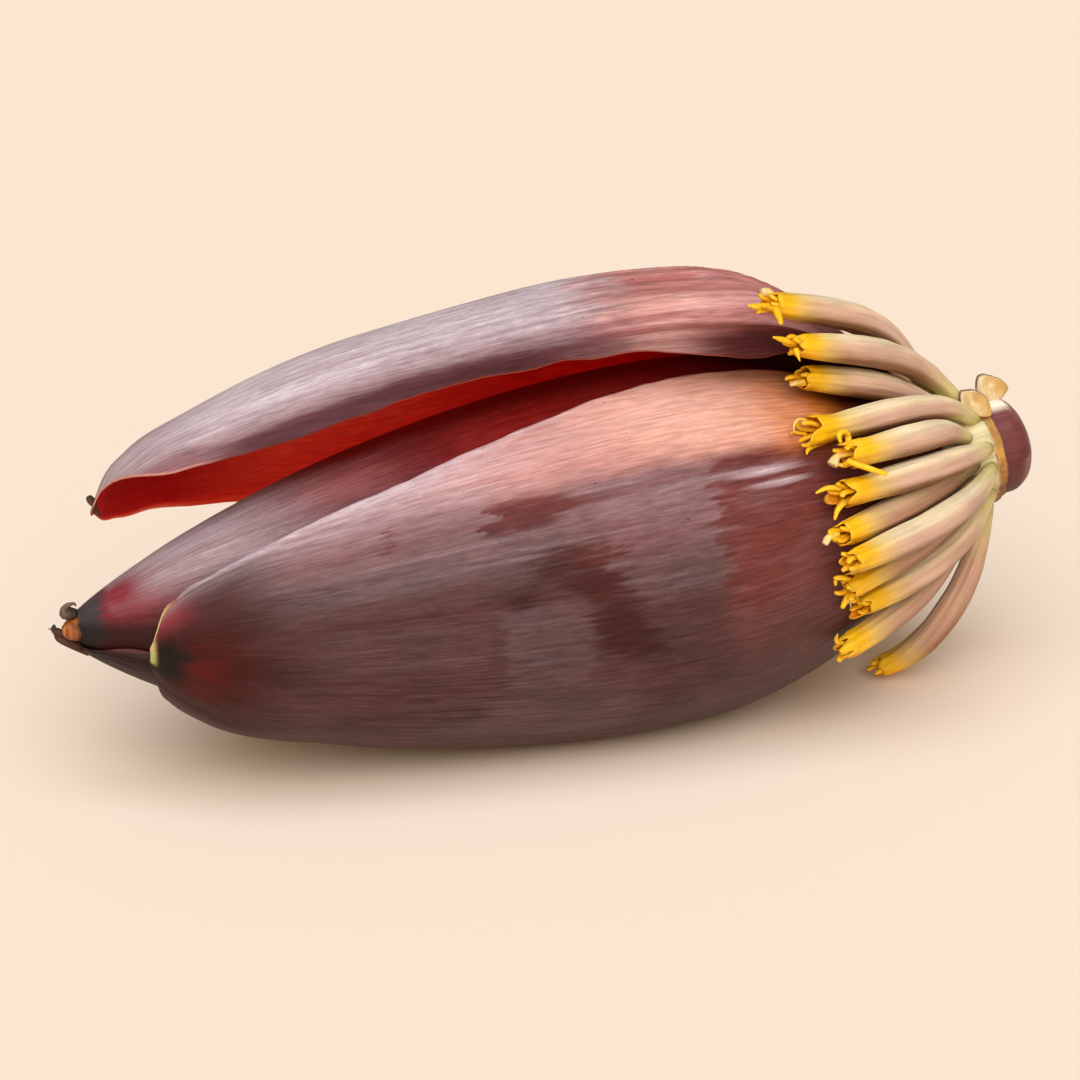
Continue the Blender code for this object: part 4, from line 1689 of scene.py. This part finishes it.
# base angle, tip angle, base station, tip station, tip radius, bulge
FLOWERS = (
    (120.0, 137.0, 232.0, 187.0, 58.0, 12.0),
    (91.6, 67.2, 227.5, 167.3, 67.4, 15.1),
    (79.5, 60.5, 232.0, 171.6, 59.7, 9.9),
    (67.0, 59.9, 227.5, 174.9, 48.4, 2.6),
    (56.2, 43.7, 232.0, 173.2, 44.6, 6.6),
    (39.8, 33.0, 227.5, 177.8, 49.5, 8.7),
    (24.0, 23.1, 232.0, 174.8, 47.9, 7.3),
    (13.2, 12.9, 227.5, 170.3, 51.0, 0.9),
    (3.8, 6.2, 232.0, 170.2, 53.9, 8.5),
    (-5.8, -3.5, 227.5, 172.9, 47.8, 1.5),
    (-24.3, -14.8, 232.0, 178.2, 43.5, 3.6),
    (-38.4, -28.3, 227.5, 173.7, 46.2, 2.6),
    (-44.6, -82.2, 232.0, 198.8, 47.7, 12.6),
    (-78.0, -96.0, 227.5, 203.0, 43.0, 5.0),
)


def flower_path(measures):
    """Cubic curve in (station, radius, angle), out from the crown and then back to the tip.
    Its second corner lies 9 mm before the base at radius 19 + 0.7 bulge, and its third at
    station 207 and radius 33 + 1.3 bulge."""
    base_angle, tip_angle, base_station, tip_station, tip_radius, bulge = measures
    corners = (
        (base_station, ROOT_RADIUS, base_angle),
        (base_station - 9.0, 19.0 + 0.7 * bulge, base_angle),
        (207.0, 33.0 + 1.3 * bulge, tip_angle),
        (tip_station, tip_radius, tip_angle),
    )
    u = np.linspace(0, 1, 60)[:, None]
    weights = ((1 - u) ** 3, 3 * u * (1 - u) ** 2, 3 * u**2 * (1 - u), u**3)
    line = sum(weight * np.array(corner) for weight, corner in zip(weights, corners))
    station, radius, angle = line.T
    points = around(station, radius, angle)
    return Path(points, around(station, radius + 1.0, angle) - points)


print("longest flower:", round(1000 * max(flower_path(m).length for m in FLOWERS), 1), "mm")

# %% [markdown]
# At its mouth a flower has five unequal rounded lobes that crowd together, one of them
# longer than the rest. Most mouths are nearly shut, and three of them stand open.

# %% Mouths
# how far the mouth opens, where its longest lobe points in degrees, how long it is
MOUTHS = (
    (0.1, 200.0, 3.0),
    (0.1, 95.0, 5.0),
    (0.0, 110.0, 4.0),
    (0.1, 180.0, 3.0),
    (1.0, 60.0, 5.0),
    (0.6, 300.0, 4.5),
    (0.7, 180.0, 5.5),
    (0.1, 160.0, 3.0),
    (0.2, 40.0, 4.0),
    (0.4, 320.0, 4.5),
    (0.2, 80.0, 5.0),
    (0.3, 300.0, 4.5),
    (0.1, 160.0, 3.5),
    (0.1, 180.0, 3.0),
)
print("mouths open more than halfway:", sum(mouth[0] > 0.5 for mouth in MOUTHS))

# %% [markdown]
# Some flowers have more: a pale style, a hook, or a strap that hangs across a neighbour.
# These are threads, listed one by one. Flowers that lie in the shade of others are painted
# brown as shade.

# %% Extras and shade
YELLOW = colour(246, 190, 20)
PALE = colour(232, 206, 150)
# for a flower's number: colour, places as (mm past the mouth, mm from the middle, turn), sizes
EXTRAS = {
    2: (
        (
            YELLOW,
            ((-2.0, 1.5, 80), (-1.6, 3.2, 88), (-1.2, 5.4, 92), (-0.8, 7.4, 94)),
            (0.8, 0.9, 0.8, 0.5),
        ),
        (PALE, ((-3.5, 1.4, 300), (-1.6, 2.6, 300), (0.2, 2.6, 300)), (0.9, 1.5, 1.2)),
        (YELLOW, ((-2.0, 1.0, 200), (1.0, 1.4, 180), (4.4, 1.2, 160)), (1.2, 1.1, 0.3)),
    ),
    3: (
        (YELLOW, ((-1.0, 1.5, 90), (-0.6, 3.2, 92), (-0.4, 5.0, 94)), (0.8, 0.5, 0.15)),
        (YELLOW, ((-2.0, 0.8, 270), (1.5, 1.6, 270), (4.2, 1.8, 280)), (1.1, 0.9, 0.3)),
    ),
    4: ((PALE, ((-2.0, 1.2, 90), (1.0, 2.0, 90), (2.4, 2.4, 100)), (0.9, 0.8, 0.4)),),
    5: (
        (
            PALE,
            ((-1.0, 2.6, 290), (1.6, 3.6, 300), (3.4, 2.6, 310), (3.6, 0.8, 330)),
            (0.4, 0.34, 0.3, 0.15),
        ),
        (YELLOW, ((-1.0, 2.4, 200), (2.0, 2.6, 220), (3.6, 1.0, 240)), (0.7, 0.5, 0.3)),
        (YELLOW, ((-1.0, 3.2, 95), (1.6, 4.2, 90), (2.6, 5.4, 85)), (0.7, 0.5, 0.15)),
    ),
    6: (
        (PALE, ((-3.0, 0.5, 200), (0.5, 1.6, 200), (2.6, 2.2, 150)), (0.8, 1.0, 1.5)),
        (
            YELLOW,
            ((-2.0, 2.2, 280), (-2.4, 4.4, 280), (-0.8, 5.6, 285), (0.8, 4.8, 290), (0.6, 3.2, 292)),
            (0.8, 0.8, 0.8, 0.7, 0.5),
        ),
        (
            YELLOW,
            ((0.5, 2.0, 50), (-1.0, 4.2, 50), (-3.5, 6.6, 54), (-6.0, 8.4, 58)),
            (0.9, 0.9, 0.85, 0.7),
        ),
    ),
    7: (
        (YELLOW, ((-1.0, 1.6, 250), (2.0, 2.6, 240), (5.0, 2.8, 220)), (0.9, 0.8, 0.3)),
        (YELLOW, ((-1.0, 1.6, 100), (1.5, 3.2, 95), (3.0, 5.2, 92)), (0.9, 0.7, 0.3)),
    ),
    8: ((PALE, ((-2.0, 1.0, 200), (0.6, 1.8, 180), (2.0, 2.4, 150)), (0.9, 1.0, 0.8)),),
    10: (
        (
            YELLOW,
            ((-2.0, 1.2, 270), (0.6, 3.0, 270), (2.0, 3.4, 250), (2.2, 1.8, 230)),
            (0.8, 0.8, 0.7, 0.4),
        ),
        (YELLOW, ((-2.0, 1.2, 80), (0.6, 3.0, 85), (2.2, 4.0, 80)), (0.9, 0.8, 0.5)),
    ),
    11: (
        (
            PALE,
            ((-0.5, 2.0, 270), (0.8, 3.6, 270), (2.4, 3.6, 280), (2.8, 2.0, 300)),
            (0.35, 0.3, 0.26, 0.12),
        ),
        (YELLOW, ((-2.0, 1.2, 240), (1.6, 2.2, 250), (3.8, 2.4, 250)), (0.9, 0.8, 0.3)),
    ),
    12: (
        (
            YELLOW,
            ((-1.0, 2.0, 250), (0.6, 3.0, 255), (1.6, 5.2, 262), (1.8, 7.2, 266)),
            (0.7, 0.6, 0.5, 0.15),
        ),
    ),
}
# for a flower's number: how much painted shade browns it, from 0 to 1
SHADED = {8: 0.5, 10: 0.55, 11: 0.1, 12: 0.4, 13: 0.3}
print(sum(len(extras) for extras in EXTRAS.values()), "extras on", len(EXTRAS), "flowers")

# %% [markdown]
# The lobes are cut into the tube by the distance that its edge reaches at each turn. Their
# places, widths and curls are drawn at random, and only the longest one is given.

# %% Lobes of the mouth
LOBES = 5


def turn_apart(turn, other):
    """Smallest angle between two turns in radians."""
    return np.abs((turn - other + np.pi) % (2 * np.pi) - np.pi)


def flower_lobes(turn, mouth, random):
    """Height and curl of the mouth's edge at each turn: five lobes (1 - x^2)**0.7, where x
    is the distance from the lobe's middle over its half width."""
    lobes = 0.08 + 0.06 * np.cos(3 * turn + random.uniform(0, 6))
    curl = np.zeros_like(turn)
    for number in range(LOBES):
        middle = np.radians(mouth[1] + 72 * number + random.uniform(-14, 14))
        share = 1.0 if number == 0 else random.uniform(0.2, 0.75)
        half_width = np.radians(random.uniform(32, 48))
        lobe = share * np.clip(1 - (turn_apart(turn, middle) / half_width) ** 2, 0, 1) ** 0.7
        curl = np.where(lobe > lobes, random.uniform(-0.5, 1.2), curl)
        lobes = np.maximum(lobes, lobe)
    return lobes, curl


print("lobes stand", 360 // LOBES, "degrees apart")

# %% [markdown]
# A flower is painted pale cream on its upper side as light and brown below as the shade of
# its neighbours. It is pink along the middle, greenish at its root and yellow at the mouth.

# %% Flower colours


def flower_tones(distance, share, end, rise, inside, blush, shaded):
    """Colour along and round a tube. Rise is 1 on its upper side and -1 underneath. Shaded
    says how much painted shade browns the tube, from 0 to 1."""
    below_mouth = ease(-rise, 0.0, 0.8) * ease(distance, end - 8, end - 3)
    return painted_over(
        blend(blush, colour(216, 180, 158), colour(202, 160, 140)),
        # painted light: cream on top; painted shade: brown underneath
        (0.9 * ease(rise, 0.35, 0.95), colour(240, 222, 184)),
        (0.9 * ease(-rise, -0.05, 0.6), colour(126, 78, 40)),
        # greenish towards the root
        (0.8 * (1 - ease(share, 0.06, 0.34)), colour(222, 214, 142)),
        (0.6 * (1 - ease(share, 0.02, 0.10)), colour(178, 162, 84)),
        # painted shade where other flowers cover this one
        (shaded, colour(150, 100, 58)),
        # yellow towards the mouth, orange inside, and orange below it as painted shade
        (0.65 * ease(distance, end - 18, end - 8), colour(226, 192, 88)),
        (ease(distance, end - 11.0, end - 5.0), colour(240, 184, 14)),
        (0.6 * below_mouth, colour(190, 112, 4)),
        (0.8 * inside, colour(222, 140, 6)),
    )


print("flower colours ready")

# %% [markdown]
# A flower is a tube of fused petals with shallow grooves. One grid makes the whole of it:
# its rows run along the outside from the base to the lobes, turn over the rim and go back
# down the inside. Near the mouth it is crumpled, and opens wide or draws together.

# %% Flower tube
FLOWER_GIRTH = ((0.0, 0.50), (0.12, 0.64), (0.35, 0.88), (0.6, 0.97), (0.85, 0.88), (1.0, 0.66))
FLOWER_WIDEST = 3.6
INSIDE_END = 0.86


def flower_tube(path, mouth, shaded, random, rows=70, inside_rows=14, columns=60):
    """Rings at distance v reach(turn), with reach = length - 3 + the lobe's height, then
    back inside. Radius = girth (1 + grooves), wider or narrower where the mouth opens or
    closes, and crumpled there."""
    turn = np.linspace(0, 2 * np.pi, columns, endpoint=False)[None, :]
    lobes, curl = flower_lobes(turn, mouth, random)
    end = path.length / MM
    reach = end - 3.0 + mouth[2] * lobes
    down = np.linspace(0, 1, rows)[:, None] ** 0.8
    up = np.linspace(1, INSIDE_END, inside_rows + 1)[1:, None]
    distance = np.concatenate([down * reach, up * reach])
    inside = np.concatenate([np.zeros(rows), np.ones(inside_rows)])[:, None]

    share = np.clip(distance / end, 0, 1)
    radius = FLOWER_WIDEST * smooth_table(share, FLOWER_GIRTH)
    grooves = 0.045 * np.cos(5 * (turn - np.radians(mouth[1]))) + 0.02 * np.cos(11 * turn + 1)
    radius = radius * (1 + grooves * ease(share, 0.05, 0.3))
    radius = radius + 0.12 * lattice(distance / 6, turn * 2 / np.pi, int(random.integers(1000)), 4)
    crumple = 0.22 * lattice(distance / 1.3, turn * 8 / np.pi, int(random.integers(1000)), 16)
    radius = radius + crumple * ease(distance, end - 7, end - 3)
    radius = radius + 1.2 * mouth[0] * ease(distance, end - 9, end - 1)
    radius = radius - 1.1 * (1 - mouth[0]) * ease(distance, end - 4, end + 2.5)
    radius = radius + curl * 1.1 * ease(distance, end - 2, end + 3)
    wall = 0.30 + 0.30 * (1 - ease(distance, end - 7, end - 1))
    radius = np.maximum(radius - wall * inside, 0.15)
    turn = turn + 0 * radius
    centre = path.place(distance * MM, 0 * radius, turn)
    grid = path.place(distance * MM, radius * MM, turn)
    # rise, how far the skin faces up, steers the painted light on top and shade below
    rise = unit(grid - centre)[..., 2]
    bottom = path.read(np.array(INSIDE_END * end * MM), path.points)
    ends = np.stack([path.points[0], bottom])
    points, faces = closed_tube(grid, ends)

    blush = 0.5 + 0.5 * layered(distance / 14, turn * 2 / np.pi, int(random.integers(1000)), 2)
    tone = flower_tones(distance, share, end, rise, inside, blush, shaded)
    skin = np.stack([radius * np.cos(turn), radius * np.sin(turn), distance], axis=-1) * 0.1
    return {
        "points": points,
        "faces": faces,
        "skin": np.concatenate([flat(skin), np.zeros((2, 3))]),
        "tint": np.concatenate([flat(tone), [colour(240, 228, 180), colour(200, 120, 10)]]),
        "wax": np.zeros(len(points)),
    }


print("tube is up to", 2 * FLOWER_WIDEST, "mm across")

# %% [markdown]
# Strap-like stamens crowd in the mouth and curl out of it. Four are drawn at random for
# each flower, and the flower's own extras from the list come on top.

# %% Flower threads
STAMENS = 4


def flower_threads(path, mouth, extras, random):
    """Four short straps that crowd in the mouth and curl, and the flower's own extras."""
    end = path.length / MM
    sheets = []
    for number in range(STAMENS):
        turn = np.radians(mouth[1] + 360 / STAMENS * number + random.uniform(-30, 30))
        spread = random.uniform(1.2, 2.0) + 0.9 * mouth[0]
        beyond = random.uniform(-1.2, 1.0) + 1.2 * mouth[0]
        distances = np.array([end - 8, end - 4, end + beyond - 1.2, end + beyond])
        radii = np.array([0.7, 1.1, spread, spread * random.uniform(0.6, 1.6)])
        turns = turn + np.array([0, 0.1, 0.4, 0.9]) * random.uniform(-1, 1)
        points = path.place(distances * MM, radii * MM, turns)
        sizes = np.array([0.9, 1.0, 0.9, 0.6]) * MM
        sheets.append(thread(points, sizes, colour(224, 150, 8), YELLOW, flatness=0.6))
    for tone, places, sizes in extras:
        along, radii, turns = np.array(places, float).T
        points = path.place((end + along) * MM, radii * MM, np.radians(turns))
        sheets.append(thread(points, np.array(sizes) * MM, YELLOW, tone, flatness=0.75))
    return sheets


print("each mouth has", STAMENS, "stamens")

# %% [markdown]
# Tube and threads are joined into one piece for each flower. Every flower has its own seed
# and its own stretch of the pattern, so no two are alike.

# %% Flowers
FIRST_FLOWER_SEED = 400
PATTERN_STEP = 9.0


def make_flower(number, measures, mouth):
    """A flower's tube and threads, joined."""
    random = np.random.default_rng(FIRST_FLOWER_SEED + number)
    path = flower_path(measures)
    sheets = [flower_tube(path, mouth, SHADED.get(number, 0.0), random)]
    sheets += flower_threads(path, mouth, EXTRAS.get(number, ()), random)
    for sheet in sheets:
        sheet["skin"] = sheet["skin"] + np.array([0.0, 0.0, PATTERN_STEP * number])
    points, faces, fields = joined(sheets)
    cad_node = f"flower_{number:02d}"
    name = cad_node + "_tube"
    make_piece(name, points, faces, flower_finish, [cad_node], fields)


for number, (measures, mouth) in enumerate(zip(FLOWERS, MOUTHS), start=1):
    make_flower(number, measures, mouth)
